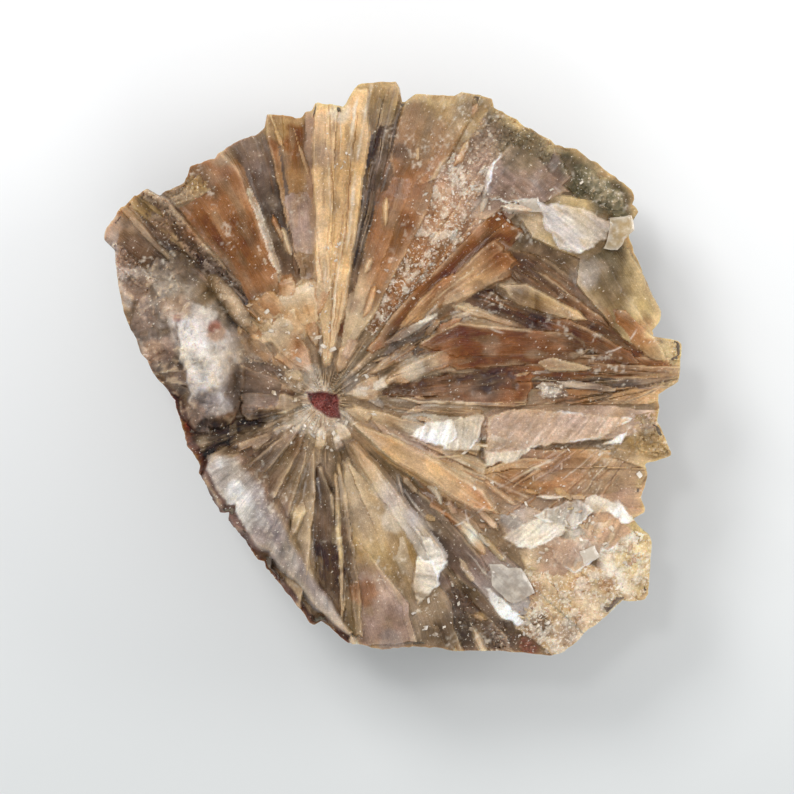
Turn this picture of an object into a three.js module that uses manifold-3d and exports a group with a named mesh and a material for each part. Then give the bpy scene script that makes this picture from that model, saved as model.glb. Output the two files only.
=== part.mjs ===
// A gypsum specimen: a flat, hand-sized piece broken from a nodule. Blades of brown, honey and
// smoky gypsum radiate from one centre and have grown together into one solid, with a thin crust
// of host rock left on the outer wall and the back. It lies on its back with the broken crystal
// face up.
//
// Frame, in millimetres: Z up, X to the right and Y to the top of the crystal face. The origin
// is on the flat patch that the specimen rests on, right below the point the blades spread from.
// Places on the face are given as [angle in degrees from +X, radius from that point].

import * as THREE from "three";
import { ConvexGeometry } from "three/addons/geometries/ConvexGeometry.js";
import { mergeVertices } from "three/addons/utils/BufferGeometryUtils.js";
import Module from "manifold-3d";

// Driving dimensions
const FACE_LEVEL = 8.4; // mean height of the crystal face over the resting plane
const BOWL_RISE = 3.2; // how far the face climbs towards the crusted side
const BOWL_REACH = 9.5; // distance over which it climbs
const BOWL_HEADING = 203; // direction in which it climbs, degrees
const GROOVE_DEPTH = 0.75; // the body's top lies this far below the mean face
const GROWN_TOGETHER = 1.2; // a blade's width over its share of the face, so that it meets the next
const ROOT_DEPTH = 2.2; // how far a blade's foot reaches below its top at the start
const WALL_DEPTH = 4.6; // and at the end of a blade that shows in the outer wall
const WALL_REACH = 2; // a blade shows in the wall if it ends this near to the rim
const STRAIGHT_OUT = 0.9; // and if it points outwards: the cosine of the most that it may turn
const WALL_LEAN = 1.3; // how far that foot stands in from the blade's end
const FLARE = 0.45; // how much wider a blade's foot is than its top, each side
const CROWN = 0.08; // rise of a blade's ridge over its edges, per width
const BROAD = 1.15; // a blade wider than this has a ridge along its top
const RIDGE_WANDER = 0.5; // how far the ridge may lie off the middle, as a share of the width
const END_SKEW = 0.8; // how far a blade's blunt end may slant, as a share of its width
const ROUGHNESS = 0.42; // size of the random unevenness of the crust

const radians = THREE.MathUtils.degToRad;
const { lerp, smoothstep } = THREE.MathUtils;

/** A repeatable number from -0.5 to 0.5 for each pair of keys. */
function jitter(a, b) {
  const s = Math.sin(a * 127.1 + b * 311.7) * 43758.5453;
  return s - Math.floor(s) - 0.5;
}

/** The point [angle, radius] as x and y. */
function polar([angle, radius]) {
  const a = radians(angle);
  return new THREE.Vector2(radius * Math.cos(a), radius * Math.sin(a));
}

/** The mean height of the crystal face at x, y: level, and climbing towards the crusted side. */
function level(x, y) {
  const heading = radians(BOWL_HEADING);
  const along = x * Math.cos(heading) + y * Math.sin(heading);
  return FACE_LEVEL + BOWL_RISE * smoothstep(along, 0, BOWL_REACH);
}

// The body that the blades stand in: [angle, rim radius, height of the fold at the rim].
const SPOKES = [
  [0, 22.0, -0.1], [3, 22.3, 0.1], [5.5, 23.3, 0.1], [9, 23.0, 0], [11.5, 21.8, -0.2],
  [15.5, 22.2, 0.1], [22, 22.4, 0.2], [28, 22.5, 0], [29.6, 22.9, -0.2], [31, 23.9, 0],
  [33.5, 23.8, 0.2], [37, 23.4, 0.1], [42, 23.2, 0.3], [46, 22.8, 0], [50.5, 22.2, 0.2],
  [55.5, 22.3, 0.1], [60, 22.1, 0.2], [62.5, 21.7, -0.1], [65, 22.0, 0.2], [70, 21.0, 0],
  [73.2, 20.3, 0.1], [74.7, 19.3, -0.9], [76, 19.8, -0.6], [79, 20.6, 0], [82.5, 20.6, 0.2],
  [85.5, 19.4, 0.1], [90, 18.9, 0.1], [95, 18.7, 0], [100, 18.8, 0.1], [104, 18.2, -0.3],
  [108.6, 17.9, -0.1], [113.5, 17.8, 0.2], [116.5, 17.2, 0], [119.7, 16.5, -0.2],
  [123.5, 16.8, 0.1], [128, 17.1, 0], [133, 18.0, 0.2], [137.5, 18.3, 0.1], [140.5, 18.1, 0],
  [145.8, 16.6, 0.3], [150.7, 15.4, 0.4], [156.4, 14.5, 0.5], [160, 13.5, 0.5],
  [164, 12.2, 0.6], [171, 11.1, 0.5], [180, 9.9, 0.2], [191, 9.6, -0.6], [198, 9.4, -0.8],
  [205, 9.2, -0.3], [213, 9.2, 0.6], [220, 9.3, 0.7], [227, 9.4, 0.7], [238, 9.8, 0.7],
  [248, 10.5, 0.6], [257.5, 12.1, 0.5], [264.5, 13.9, 0.3], [270.5, 15.0, 0.2],
  [275.5, 16.1, 0], [283, 16.8, 0], [291, 17.4, 0.1], [298, 18.3, -0.1], [304, 20.0, 0],
  [311.3, 22.4, 0.1], [315, 22.9, 0], [321, 22.7, 0.1], [326, 23.0, 0], [330.5, 23.4, -0.1],
  [334, 23.6, 0], [336.2, 22.2, -0.2], [338, 21.3, -0.1], [342, 21.6, 0.1], [346.5, 21.5, 0],
  [350, 21.0, -0.2], [354, 21.7, 0], [357.3, 21.9, 0.1],
];

// The blades and the other crystals of the face, each a tapered bar lying along the face:
// [name, start [angle, radius], end [angle, radius], width at the start, width at the end,
//  top above the mean face at the start, and at the end, roll in degrees (left side up)].
const BLADES = [
  // fan above the centre
  ["golden_rib", [87.5, 2.6], [87, 19.4], 1.1, 3.4, 0.4, 0.9, -7],
  ["olive_tip", [80.6, 15], [80.6, 21.2], 2.2, 2.5, 0.2, 0.6, 4],
  ["ash_edge", [80.4, 6], [80.4, 17.6], 0.5, 1.0, 0.1, 0.35, 12],
  ["umber_flank", [78, 4.6], [77.6, 18.4], 0.8, 2.0, -0.2, -0.1, 34],
  ["plum_rib", [73.9, 7], [73.9, 18.4], 0.7, 1.3, -0.25, -0.3, 20],
  ["amber_root", [66.4, 3.6], [67.4, 14.5], 1.3, 3.4, 0.2, 0.5, -5],
  ["tan_head", [69.4, 12], [68, 21.6], 2.4, 4.2, 0.5, 0.7, -4],
  ["tan_shoulder", [64.2, 18], [63.4, 22.4], 1.6, 2.0, 0.3, 0.6, 9],
  ["sugar_slab", [57.2, 5.4], [56.6, 18.6], 1.6, 5.0, 0.1, 0.4, 5],
  ["rust_rib", [48.5, 4.4], [43.6, 16.8], 0.9, 1.7, 0.0, -0.2, 22],
  ["smoke_slab", [53.2, 15.4], [51.6, 22.4], 3.8, 6.2, -0.1, 0.2, 7],
  ["rim_ledge", [47.5, 21.9], [31.6, 23.2], 1.9, 2.1, -0.4, -0.3, -14],
  ["pale_scar", [54.4, 18.8], [50.4, 16.2], 0.7, 0.4, 0.45, 0.35, 0],
  ["white_lip", [47.6, 17.2], [42.2, 18.4], 0.4, 0.5, 0.7, 0.6, -20],
  ["pearl_plate", [44.2, 17.9], [30.2, 21.3], 2.0, 2.9, 0.8, 0.7, -6],
  // the side fan, whose blades close in on the tip at the right
  ["apricot_face", [41.5, 9.4], [38.6, 15.4], 1.0, 2.3, 0.5, 0.6, 10],
  ["ash_slab", [39, 15.2], [9, 21.4], 3.3, 1.5, 0.2, 0.2, -13],
  ["ash_rib", [33.5, 16.2], [14, 19.6], 0.9, 0.6, 0.45, 0.4, 18],
  ["golden_flake", [31.8, 14.2], [17.6, 17.6], 1.2, 0.8, 1.2, 0.9, 12],
  ["russet_face", [35.5, 11.4], [7.2, 20.4], 1.8, 0.9, -0.1, 0.1, 26],
  ["slate_strip", [37.5, 11.6], [14.2, 15.6], 1.5, 1.0, -0.2, 0.0, 14],
  ["pink_edge", [35, 10.6], [19.5, 14.0], 0.3, 0.4, 0.45, 0.35, 0],
  ["orange_face", [29, 8.2], [16.5, 14.6], 2.5, 2.4, 0.3, 0.25, 6],
  ["graphite_patch", [36.5, 5.0], [29, 8.9], 1.3, 1.9, 0.05, 0.0, -8],
  ["bright_edge", [43, 5.6], [36.6, 8.8], 0.5, 0.5, 0.5, 0.5, 18],
  ["straw_blade", [43.5, 6.6], [42.4, 11.6], 0.6, 1.0, 0.45, 0.5, 14],
  ["ochre_blade", [16.5, 4.2], [19.8, 10.2], 0.9, 0.8, 0.55, 0.4, 16],
  ["cocoa_wedge", [7.6, 4.4], [3.6, 12.6], 0.8, 1.3, -0.35, -0.3, -10],
  ["brick_lamella", [13.6, 9.6], [6.4, 21.4], 1.1, 0.8, 0.15, 0.2, 14],
  ["chestnut_lamella", [9.4, 11], [4.6, 22], 1.0, 0.9, 0.25, 0.2, 16],
  ["grey_lamella", [5.2, 12.2], [2.8, 21.8], 0.9, 0.8, 0.0, 0.1, 16],
  ["tan_lamella", [1.2, 10.6], [0.8, 21.6], 0.8, 0.9, 0.2, 0.2, 12],
  ["cream_flake", [9.6, 14.2], [7.4, 16.6], 0.8, 0.4, 0.75, 0.6, 8],
  ["spark_patch", [2.8, 13.8], [2.2, 15.8], 0.8, 0.6, 0.4, 0.35, 0],
  ["tip_plate", [5.2, 19.6], [6.4, 23.6], 2.4, 2.3, 0.05, -0.1, -12],
  ["olive_border", [26.4, 20.4], [11.2, 21.4], 2.9, 2.2, 0.1, 0.1, -12],
  // fan to the lower right
  ["khaki_comb", [358.6, 2.8], [357.8, 10.4], 1.0, 1.5, 0.15, 0.2, 8],
  ["rose_glass", [352.8, 10.3], [353.6, 20.6], 2.9, 1.1, 0.4, 0.35, -5],
  ["border_gold", [353.4, 20], [354.6, 22.4], 2.2, 2.6, 0.1, 0.0, -8],
  ["glare_near", [345.2, 5.9], [347.2, 10.3], 1.1, 2.0, 0.35, 0.4, -10],
  ["glare_middle", [341.4, 10.8], [345.4, 14.0], 1.0, 0.8, 0.4, 0.4, -16],
  ["glare_far", [351, 17.6], [354.4, 20.4], 0.7, 0.6, 0.5, 0.4, -16],
  ["buff_rib", [343, 2.4], [342, 7.4], 0.6, 0.9, 0.1, 0.2, 12],
  ["mauve_rib", [328.5, 2.8], [335.4, 11.4], 0.5, 1.2, 0.1, 0.1, 16],
  ["long_gold_rib", [317, 2.4], [327.5, 12.8], 0.7, 1.6, 0.55, 0.4, -14],
  ["brick_slab", [339.4, 11], [348.2, 19.2], 1.2, 1.1, 0.2, 0.3, 12],
  ["ochre_fibres", [332.5, 11.2], [346, 20.4], 2.4, 1.8, 0.0, 0.15, 9],
  ["khaki_fibres", [325, 12.2], [342.6, 21.6], 2.6, 2.2, -0.15, 0.0, -8],
  ["peach_plate", [338.6, 18], [334.4, 21.2], 2.0, 2.4, 0.55, 0.45, 6],
  ["peach_corner", [341, 20.6], [339.4, 21.9], 1.5, 1.3, 0.4, 0.2, -14],
  ["pearl_band", [325.6, 13.6], [331.4, 20.8], 1.7, 1.3, 0.45, 0.5, -12],
  ["beige_face", [323.5, 16], [326.4, 19.4], 2.4, 2.4, 0.15, 0.2, 8],
  ["honey_corner", [317.5, 17.4], [320.6, 23.2], 5.2, 5.6, 0.0, 0.0, 4],
  ["lobe", [330.6, 20.6], [332.8, 24.1], 3.4, 3.6, 0.0, -0.3, 5],
  ["grey_glass", [312.8, 14], [312.8, 19.6], 2.0, 2.5, 0.3, 0.25, -8],
  ["white_streak", [307, 16.6], [311.2, 20.8], 0.9, 0.8, 0.45, 0.4, 16],
  ["slate_groove", [307.6, 7.6], [308.6, 15.6], 1.3, 1.6, -0.45, -0.4, 24],
  ["umber_chip", [315.6, 8.2], [314.2, 13.6], 1.1, 1.1, 0.0, -0.1, -18],
  ["tan_flake", [315, 11.2], [312.6, 14.4], 0.8, 0.9, 0.45, 0.4, 10],
  ["frost_strip", [297, 3.2], [301.4, 14.4], 0.9, 2.1, 0.35, 0.6, 16],
  ["honey_plate", [287, 4.6], [287.6, 16.8], 1.2, 4.9, 0.35, 0.7, -6],
  ["amber_rib", [275.4, 4.4], [276.4, 15.6], 0.6, 1.4, 0.25, 0.35, 12],
  ["brown_rib", [271.4, 5], [272.4, 14.6], 0.4, 0.9, 0.05, 0.1, -10],
  ["slate_rib", [266.2, 4], [267.2, 12.6], 0.6, 1.5, -0.1, -0.2, -22],
  ["cream_chip", [260, 6.6], [259.2, 9.3], 0.6, 0.5, 0.45, 0.4, 0],
  ["olive_rib", [256, 3.4], [255.4, 10], 0.6, 1.2, 0.1, 0.1, 12],
  ["moss_rib", [246.5, 3], [246.5, 8.8], 0.6, 1.3, 0.1, 0.1, -12],
  ["khaki_rib", [236, 2.6], [236.5, 7.6], 0.6, 1.2, 0.15, 0.1, 12],
  ["straw_rib", [225.5, 2.4], [225.5, 7], 0.5, 1.0, 0.2, 0.1, -10],
  ["sable_rib", [215.5, 2.4], [214.5, 6.8], 0.5, 1.0, 0.0, -0.2, 12],
  // crusted side: the fibrous band and the bosses along the rim
  ["char_cleft", [196, 3], [197, 9.2], 1.0, 2.2, -0.5, -0.9, 0],
  ["satin_band_a", [205.5, 8.2], [231, 8.7], 1.9, 1.9, 0.7, 1.0, -10],
  ["satin_band_b", [229, 8.7], [252, 10.2], 1.8, 1.6, 0.9, 0.7, -12],
  ["satin_band_c", [250, 10.1], [270.5, 14.2], 1.5, 1.2, 0.7, 0.4, -12],
  ["ochre_root", [184, 1.8], [184, 5.4], 1.0, 1.5, 0.2, 0.2, 0],
  ["umber_root", [171, 2.2], [170.5, 7.4], 1.2, 2.8, 0.1, 0.3, -8],
  ["moss_root", [158, 2.4], [157, 7.6], 0.9, 1.8, 0.1, 0.4, 10],
  // fan to the upper left
  ["button", [136, 4.2], [136.5, 7], 1.2, 1.5, 0.5, 0.6, 6],
  ["olive_glass", [139.5, 8.2], [137.6, 12.4], 1.1, 1.1, -0.1, -0.2, -14],
  ["slate_sliver", [129, 7], [130.4, 11.8], 0.8, 0.8, -0.2, -0.2, -20],
  ["umber_wedge", [136, 9], [138.4, 17.9], 1.0, 3.0, -0.6, -0.4, -18],
  ["tan_sliver", [131, 9.4], [132, 18.2], 0.4, 1.3, 0.25, 0.5, 10],
  ["brown_plate", [118.2, 6.2], [120.2, 17], 1.6, 5.0, 0.35, 0.7, -7],
  ["gold_lip", [112.6, 8.4], [113.2, 17.4], 0.8, 1.9, 0.7, 0.9, -9],
  ["sable_flank", [103.4, 6.6], [105.4, 18], 0.8, 2.3, -0.4, -0.35, -28],
  ["russet_plate", [97.4, 6.8], [97.6, 18.9], 0.9, 2.7, 0.1, 0.25, 7],
  ["pink_rib", [92.6, 7.6], [92.6, 19], 0.5, 1.2, 0.3, 0.45, -10],
];

// Short crystals around the centre: [angle, length, width, lift].
const STUBS = [
  [62, 4.4, 1.0, 0.25], [74, 5.2, 1.0, 0.45], [98, 6.2, 1.1, 0.35], [107, 6.8, 1.2, 0.5],
  [118, 5.8, 1.2, 0.6], [128, 4.8, 1.1, 0.35], [148, 4.2, 1.0, 0.4], [52, 4.8, 0.7, 0.1],
  [36, 4.6, 0.7, 0.25], [24, 5.4, 0.6, 0.15], [12, 4.2, 0.6, 0.0], [350, 5.2, 0.7, 0.2],
  [335, 4.6, 0.6, 0.1], [309, 5.4, 0.7, 0.2], [290, 4.4, 0.7, 0.3], [279, 4.2, 0.7, 0.25],
  [262, 4, 0.6, 0.2], [204, 4.4, 0.6, 0.0],
];
const STUB_START = 1.5; // radius at which they all begin
const STUB_TAPER = 0.6; // width there, as a share of their width
const STUB_ROLL = 14; // degrees
const FIRST_STUB_SEED = 300;

// Rounded lumps of host rock: [name, centre [angle, radius], heading of the long side, half
// sizes along and across that side, half height, height of the centre over the mean face].
const BOSSES = [
  ["boss_chalk", [153, 9.6], 108, 3.9, 2.4, 2.9, -0.1],
  ["boss_low_chalk", [172, 8.2], 118, 2.6, 1.9, 2.0, 0.1],
  ["boss_spur", [134, 9.2], 128, 2.4, 0.8, 1.7, -0.2],
  ["boss_upper", [146.5, 12.2], 80, 1.8, 1.7, 2.4, -0.9],
  ["boss_rim", [157, 12.4], 105, 3.2, 1.2, 1.9, -1.4],
  ["boss_corner", [139.5, 17.4], 60, 1.5, 0.9, 2.0, -1.5],
  ["boss_top_left", [118, 16.8], 25, 1.6, 0.9, 1.2, -0.7],
  ["boss_lower", [303, 17.6], 36, 2.6, 1.5, 1.5, -0.9],
  ["boss_rind", [37, 22.8], 312, 2.9, 1.1, 1.3, -1.0],
];

const BOSS_LUMPINESS = 0.35; // how far a corner is pushed in or out, as a share of its distance

/** The radius of the rim at an angle, between the two spokes beside it. */
function rimRadius(angle) {
  const turned = ((angle % 360) + 360) % 360;
  const next = SPOKES.findIndex(([spoke]) => spoke > turned);
  const [afterAngle, afterRim] = next < 0 ? [360, SPOKES[0][1]] : SPOKES[next];
  const [beforeAngle, beforeRim] = SPOKES.at(next < 0 ? -1 : next - 1);
  return lerp(beforeRim, afterRim, (turned - beforeAngle) / (afterAngle - beforeAngle));
}

/** A three.js geometry as a manifold solid. */
function solidFrom(wasm, geometry) {
  const bare = geometry.clone();
  bare.deleteAttribute("normal");
  bare.deleteAttribute("uv");
  const merged = mergeVertices(bare, 1e-4);
  return new wasm.Manifold(
    new wasm.Mesh({
      numProp: 3,
      vertProperties: merged.getAttribute("position").array,
      triVerts: new Uint32Array(merged.index.array),
    }),
  );
}

/** A manifold solid as a three.js geometry. */
function geometryFrom(solid) {
  const mesh = solid.getMesh();
  return new THREE.BufferGeometry()
    .setAttribute("position", new THREE.BufferAttribute(mesh.vertProperties, 3))
    .setIndex(new THREE.BufferAttribute(mesh.triVerts, 1));
}

// The body's outline from the bottom centre out, up the wall and in over the top, as rows of
// [share of the rim radius, share of the height from the resting plane to the rim, roughness].
const BODY_ROWS = [
  [0, 0, 0], [0.34, 0, 0], [0.62, 0, 0], [0.78, 0.13, 0.9], [0.9, 0.3, 1], [0.98, 0.5, 1],
  [1, 0.72, 0.8], [0.99, 0.9, 0.5], [0.95, 1, 0.3], [0.66, 1, 0.25], [0.34, 1, 0.15],
  [0, 1, 0],
];
const WALL_TOP_ROW = 8; // from this row on, the rows lie on the crystal face
const SLOPED_SIDE = 165; // the wall leans out towards its foot about this angle, degrees
const SLOPED_SPAN = 42; // over this much to both sides
const SLOPE = 0.08; // and the face's edge draws in by this share of the rim radius

/** How far the face's edge draws in at an angle, as a share of the rim radius. */
function bevel(angle) {
  return SLOPE * (1 - smoothstep(Math.abs(angle - SLOPED_SIDE), 0, SLOPED_SPAN));
}

/** The body: a lathe whose every column is bent to its own spoke's rim and fold. */
function bodyGeometry() {
  const rows = BODY_ROWS.map(([share, height]) => new THREE.Vector2(share, height));
  const lathe = new THREE.LatheGeometry(rows, SPOKES.length);
  const position = lathe.getAttribute("position");
  for (let column = 0; column <= SPOKES.length; column++) {
    const spoke = column % SPOKES.length;
    const [angle, rim, fold] = SPOKES[spoke];
    const edge = polar([angle, rim]);
    const top = level(edge.x, edge.y) - GROOVE_DEPTH + fold;
    BODY_ROWS.forEach(([share, height, rough], row) => {
      const key = row * 100 + spoke;
      const spread = rough * ROUGHNESS;
      const onFace = row >= WALL_TOP_ROW;
      const reach = rim * share * (1 - (onFace ? bevel(angle) : 0));
      const { x, y } = polar([angle, reach + 2 * spread * jitter(key, 1)]);
      const z = onFace ? level(x, y) - GROOVE_DEPTH + fold * share : top * height;
      position.setXYZ(column * rows.length + row, x, y, z + spread * jitter(key, 2));
    });
  }
  return lathe;
}

/** A blade: the hull of four cross-sections along its spine, pointed inside and blunt outside. */
function bladeGeometry([, start, end, startWidth, endWidth, startLift, endLift, roll], seed) {
  const from = polar(start);
  const to = polar(end);
  const along = to.clone().sub(from).normalize();
  const left = new THREE.Vector2(-along.y, along.x);
  const startTop = level(from.x, from.y) + startLift;
  const endTop = level(to.x, to.y) + endLift;
  const tilt = Math.tan(radians(roll));
  const ridge = RIDGE_WANDER * jitter(seed, 3);
  const skew = END_SKEW * jitter(seed, 5);
  const outward = along.dot(to.clone().normalize()) > STRAIGHT_OUT;
  const inWall = outward && end[1] > rimRadius(end[0]) - WALL_REACH;
  const points = [];
  // [share of the length, share of the width there, drop of the top there, is it the end]
  const sections = [
    [0, 0.3, 0.35, false],
    [0.16, 0.92, 0.02, false],
    [0.93, 1, 0, true],
    [1, 0.8, 0.3, true],
  ];
  for (const [share, narrowing, drop, atEnd] of sections) {
    const middle = from.clone().lerp(to, share);
    const width = lerp(startWidth, endWidth, share) * narrowing * GROWN_TOGETHER;
    const half = width / 2;
    const top = lerp(startTop, endTop, share) - drop * Math.min(1, endWidth);
    const add = (across, forward, z) => {
      const p = middle.clone().addScaledVector(left, across).addScaledVector(along, forward);
      points.push(new THREE.Vector3(p.x, p.y, z));
    };
    const slant = atEnd ? skew * half : 0;
    add(half, slant, top + half * tilt);
    add(-half, -slant, top - half * tilt);
    if (width > BROAD) {
      add(ridge * half, ridge * slant, top + ridge * half * tilt + width * CROWN);
    }
    const deep = inWall && atEnd;
    const foot = top - (deep ? WALL_DEPTH : ROOT_DEPTH);
    const back = deep ? -WALL_LEAN : 0;
    add(half + FLARE, slant + back, foot);
    add(-half - FLARE, back - slant, foot);
  }
  return new ConvexGeometry(points);
}

/** A boss: a squashed icosahedron whose corners are pushed in and out a little. */
function bossGeometry([, centre, heading, halfAlong, halfAcross, halfHeight, lift], seed) {
  const { x, y } = polar(centre);
  const ball = mergeVertices(
    new THREE.IcosahedronGeometry(1, 1).deleteAttribute("normal").deleteAttribute("uv"),
  );
  const position = ball.getAttribute("position");
  for (let i = 0; i < position.count; i++) {
    const push = 1 + BOSS_LUMPINESS * jitter(seed * position.count + i, 4);
    position.setXYZ(
      i,
      position.getX(i) * halfAlong * push,
      position.getY(i) * halfAcross * push,
      position.getZ(i) * halfHeight * push,
    );
  }
  return ball.rotateZ(radians(heading)).translate(x, y, level(x, y) + lift);
}

// The small square hollow where the blades meet
const CORE_LENGTH = 1.5;
const CORE_WIDTH = 1.25;
const CORE_DEPTH = 0.7; // below the grooves
const CORE_HEADING = -12; // degrees
const CORE_CLEARANCE = 3; // how far the cut reaches up past the grooves

/** The hollow at the centre, as the solid to cut away. */
function corePit() {
  const height = CORE_DEPTH + CORE_CLEARANCE;
  const floor = level(0, 0) - GROOVE_DEPTH - CORE_DEPTH;
  return new THREE.BoxGeometry(CORE_LENGTH, CORE_WIDTH, height)
    .rotateZ(radians(CORE_HEADING))
    .translate(0, 0, floor + height / 2);
}

const wasm = await Module();
wasm.setup();

let specimen = solidFrom(wasm, bodyGeometry());
BOSSES.forEach((boss, i) => {
  specimen = specimen.add(solidFrom(wasm, bossGeometry(boss, i)));
});
STUBS.forEach(([angle, length, width, lift], i) => {
  const start = [angle, STUB_START];
  const stub = ["", start, [angle, length], width * STUB_TAPER, width, lift, lift, STUB_ROLL];
  specimen = specimen.add(solidFrom(wasm, bladeGeometry(stub, FIRST_STUB_SEED + i)));
});
BLADES.forEach((blade, i) => {
  specimen = specimen.add(solidFrom(wasm, bladeGeometry(blade, i)));
});
specimen = specimen.subtract(solidFrom(wasm, corePit()));

const gypsum = new THREE.Mesh(
  geometryFrom(specimen),
  new THREE.MeshStandardMaterial({ color: 0x9a7248, roughness: 0.45, metalness: 0 }),
);
gypsum.name = "gypsum_specimen";

const group = new THREE.Group();
group.add(gypsum);

export default group;
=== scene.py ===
# Looks of the gypsum specimen: brown and honey blades that radiate from one centre, with clear
# cleavage plates, sugary frosting and a rough crust on the wall and the back. It lies on its back
# on a pale floor and the camera looks straight down on the crystal face.
#
# The crystal face is a relief on a fine grid. Blades, facets, crust and the satin band are laid on
# it one after another, each where it is the higher, and then the colours are worked over. Three
# closed pieces with a wall down the rim are cut from it. The crust behind them is the CAD solid,
# roughened.
#
# Lengths are in millimetres until a mesh is handed to Blender, which takes metres. Places on the
# face are [angle in degrees from +X, radius from the centre], as in the CAD model.

import math

import bmesh
import bpy
import numpy as np
from mathutils import Euler, Matrix, Vector
from mathutils.bvhtree import BVHTree


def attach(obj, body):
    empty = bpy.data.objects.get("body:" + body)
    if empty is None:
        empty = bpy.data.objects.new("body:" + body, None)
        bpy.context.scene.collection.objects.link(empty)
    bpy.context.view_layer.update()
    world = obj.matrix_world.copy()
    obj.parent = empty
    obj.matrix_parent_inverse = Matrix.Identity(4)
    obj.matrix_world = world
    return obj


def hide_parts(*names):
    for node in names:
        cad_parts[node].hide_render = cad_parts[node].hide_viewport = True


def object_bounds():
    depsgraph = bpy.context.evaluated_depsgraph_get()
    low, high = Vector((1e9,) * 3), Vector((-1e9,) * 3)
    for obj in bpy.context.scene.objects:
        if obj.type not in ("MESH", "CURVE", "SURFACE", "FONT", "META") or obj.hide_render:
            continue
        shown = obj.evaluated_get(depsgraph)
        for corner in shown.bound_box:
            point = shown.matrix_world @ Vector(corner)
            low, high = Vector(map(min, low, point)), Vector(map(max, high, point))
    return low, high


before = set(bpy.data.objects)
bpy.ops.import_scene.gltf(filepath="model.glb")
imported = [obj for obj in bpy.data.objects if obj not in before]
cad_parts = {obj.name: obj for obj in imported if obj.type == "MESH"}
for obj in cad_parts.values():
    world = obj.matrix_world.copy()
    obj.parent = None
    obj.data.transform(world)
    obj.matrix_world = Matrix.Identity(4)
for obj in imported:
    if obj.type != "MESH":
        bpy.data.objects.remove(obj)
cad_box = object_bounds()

MM = 0.001
NODE = "gypsum_specimen"

# ---------------------------------------------------------------- shape shared with the CAD model

FACE_LEVEL = 8.4  # mean height of the crystal face over the resting plane
BOWL_RISE = 3.2  # how far the face climbs towards the crusted side
BOWL_REACH = 9.5  # distance over which it climbs
BOWL_HEADING = math.radians(203)  # direction in which it climbs
WALL_DEPTH = 4.6  # how far the blades reach down in the outer wall
WALL_LEAN = 1.3  # how far their feet stand in from the rim
GROWN_TOGETHER = 1.2  # a blade's width over its share of the face, so that it meets the next


def polar(angle, radius):
    """The point (x, y) at an angle in degrees and a radius."""
    a = math.radians(angle)
    return np.array([radius * math.cos(a), radius * math.sin(a)])


def smooth(x):
    """A smooth step, from 0 at 0 to 1 at 1."""
    x = np.clip(x, 0, 1)
    return x * x * (3 - 2 * x)


def ramp(value, low, high):
    """A smooth step, from 0 at low to 1 at high, whichever of the two is larger."""
    return smooth((value - low) / (high - low))


def mixed(a, b, share):
    """A number or colour between two others."""
    return a + (b - a) * share


def level(x, y):
    """The mean height of the crystal face: level, and climbing towards the crusted side."""
    along = x * math.cos(BOWL_HEADING) + y * math.sin(BOWL_HEADING)
    return FACE_LEVEL + BOWL_RISE * smooth(along / BOWL_REACH)


# ---------------------------------------------------------------------------------------- colours

# sRGB, 0 to 255
TONES = {
    "white": (255, 252, 246),
    "frost": (240, 229, 212),
    "butter": (234, 210, 164),
    "gilt": (228, 190, 140),
    "chalk": (218, 208, 200),
    "ivory": (222, 209, 190),
    "cream": (206, 182, 150),
    "pearl": (202, 191, 178),
    "satin": (188, 175, 166),
    "dove": (168, 156, 146),
    "lilac": (146, 132, 126),
    "mauve": (158, 133, 118),
    "rose": (196, 168, 146),
    "peach": (200, 165, 136),
    "shell": (188, 156, 132),
    "sand": (182, 151, 119),
    "straw": (202, 170, 130),
    "glow": (210, 184, 138),
    "honey": (184, 146, 106),
    "gold": (170, 140, 98),
    "tan": (158, 123, 92),
    "khaki": (150, 128, 104),
    "olive": (140, 118, 90),
    "amber": (166, 118, 80),
    "copper": (150, 106, 74),
    "rust": (138, 92, 60),
    "sienna": (122, 78, 52),
    "ash": (132, 110, 96),
    "umber": (110, 84, 66),
    "cocoa": (98, 70, 52),
    "slate": (104, 89, 79),
    "sable": (84, 66, 55),
    "char": (58, 47, 43),
    "moss": (120, 107, 86),
    "rind": (106, 99, 80),
    "maroon": (132, 72, 66),
    "skin": (104, 80, 73),
}


def linear(tone):
    """A tone as the linear colour that the shaders take."""
    c = np.array(TONES[tone]) / 255
    return np.where(c <= 0.04045, c / 12.92, ((c + 0.055) / 1.055) ** 2.4)


# How each finish is cut and coloured: sheets side by side and times they break off, height of
# those steps, height and pitch of the ribs, height and size of the grains, roughness, amount of
# frosting, strength of the colour streaks.
FINISHES = {
    "fibre": dict(sheets=3, breaks=1, step=0.05, rib=0.035, pitch=0.16, grain=0.0, size=0.3,
                  rough=0.34, frost=0.3, streak=0.16),
    "plate": dict(sheets=2, breaks=0, step=0.06, rib=0.01, pitch=0.35, grain=0.0, size=0.3,
                  rough=0.22, frost=0.2, streak=0.06),
    "flake": dict(sheets=2, breaks=0, step=0.06, rib=0.012, pitch=0.3, grain=0.0, size=0.3,
                  rough=0.22, frost=0.12, streak=0.12),
    "sugar": dict(sheets=3, breaks=0, step=0.15, rib=0.03, pitch=0.5, grain=0.07, size=0.42,
                  rough=0.45, frost=0.9, streak=0.05),
    "matrix": dict(sheets=3, breaks=1, step=0.15, rib=0.03, pitch=0.5, grain=0.09, size=0.26,
                   rough=0.5, frost=0.5, streak=0.1),
}

# ----------------------------------------------------------------------------------------- blades

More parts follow.
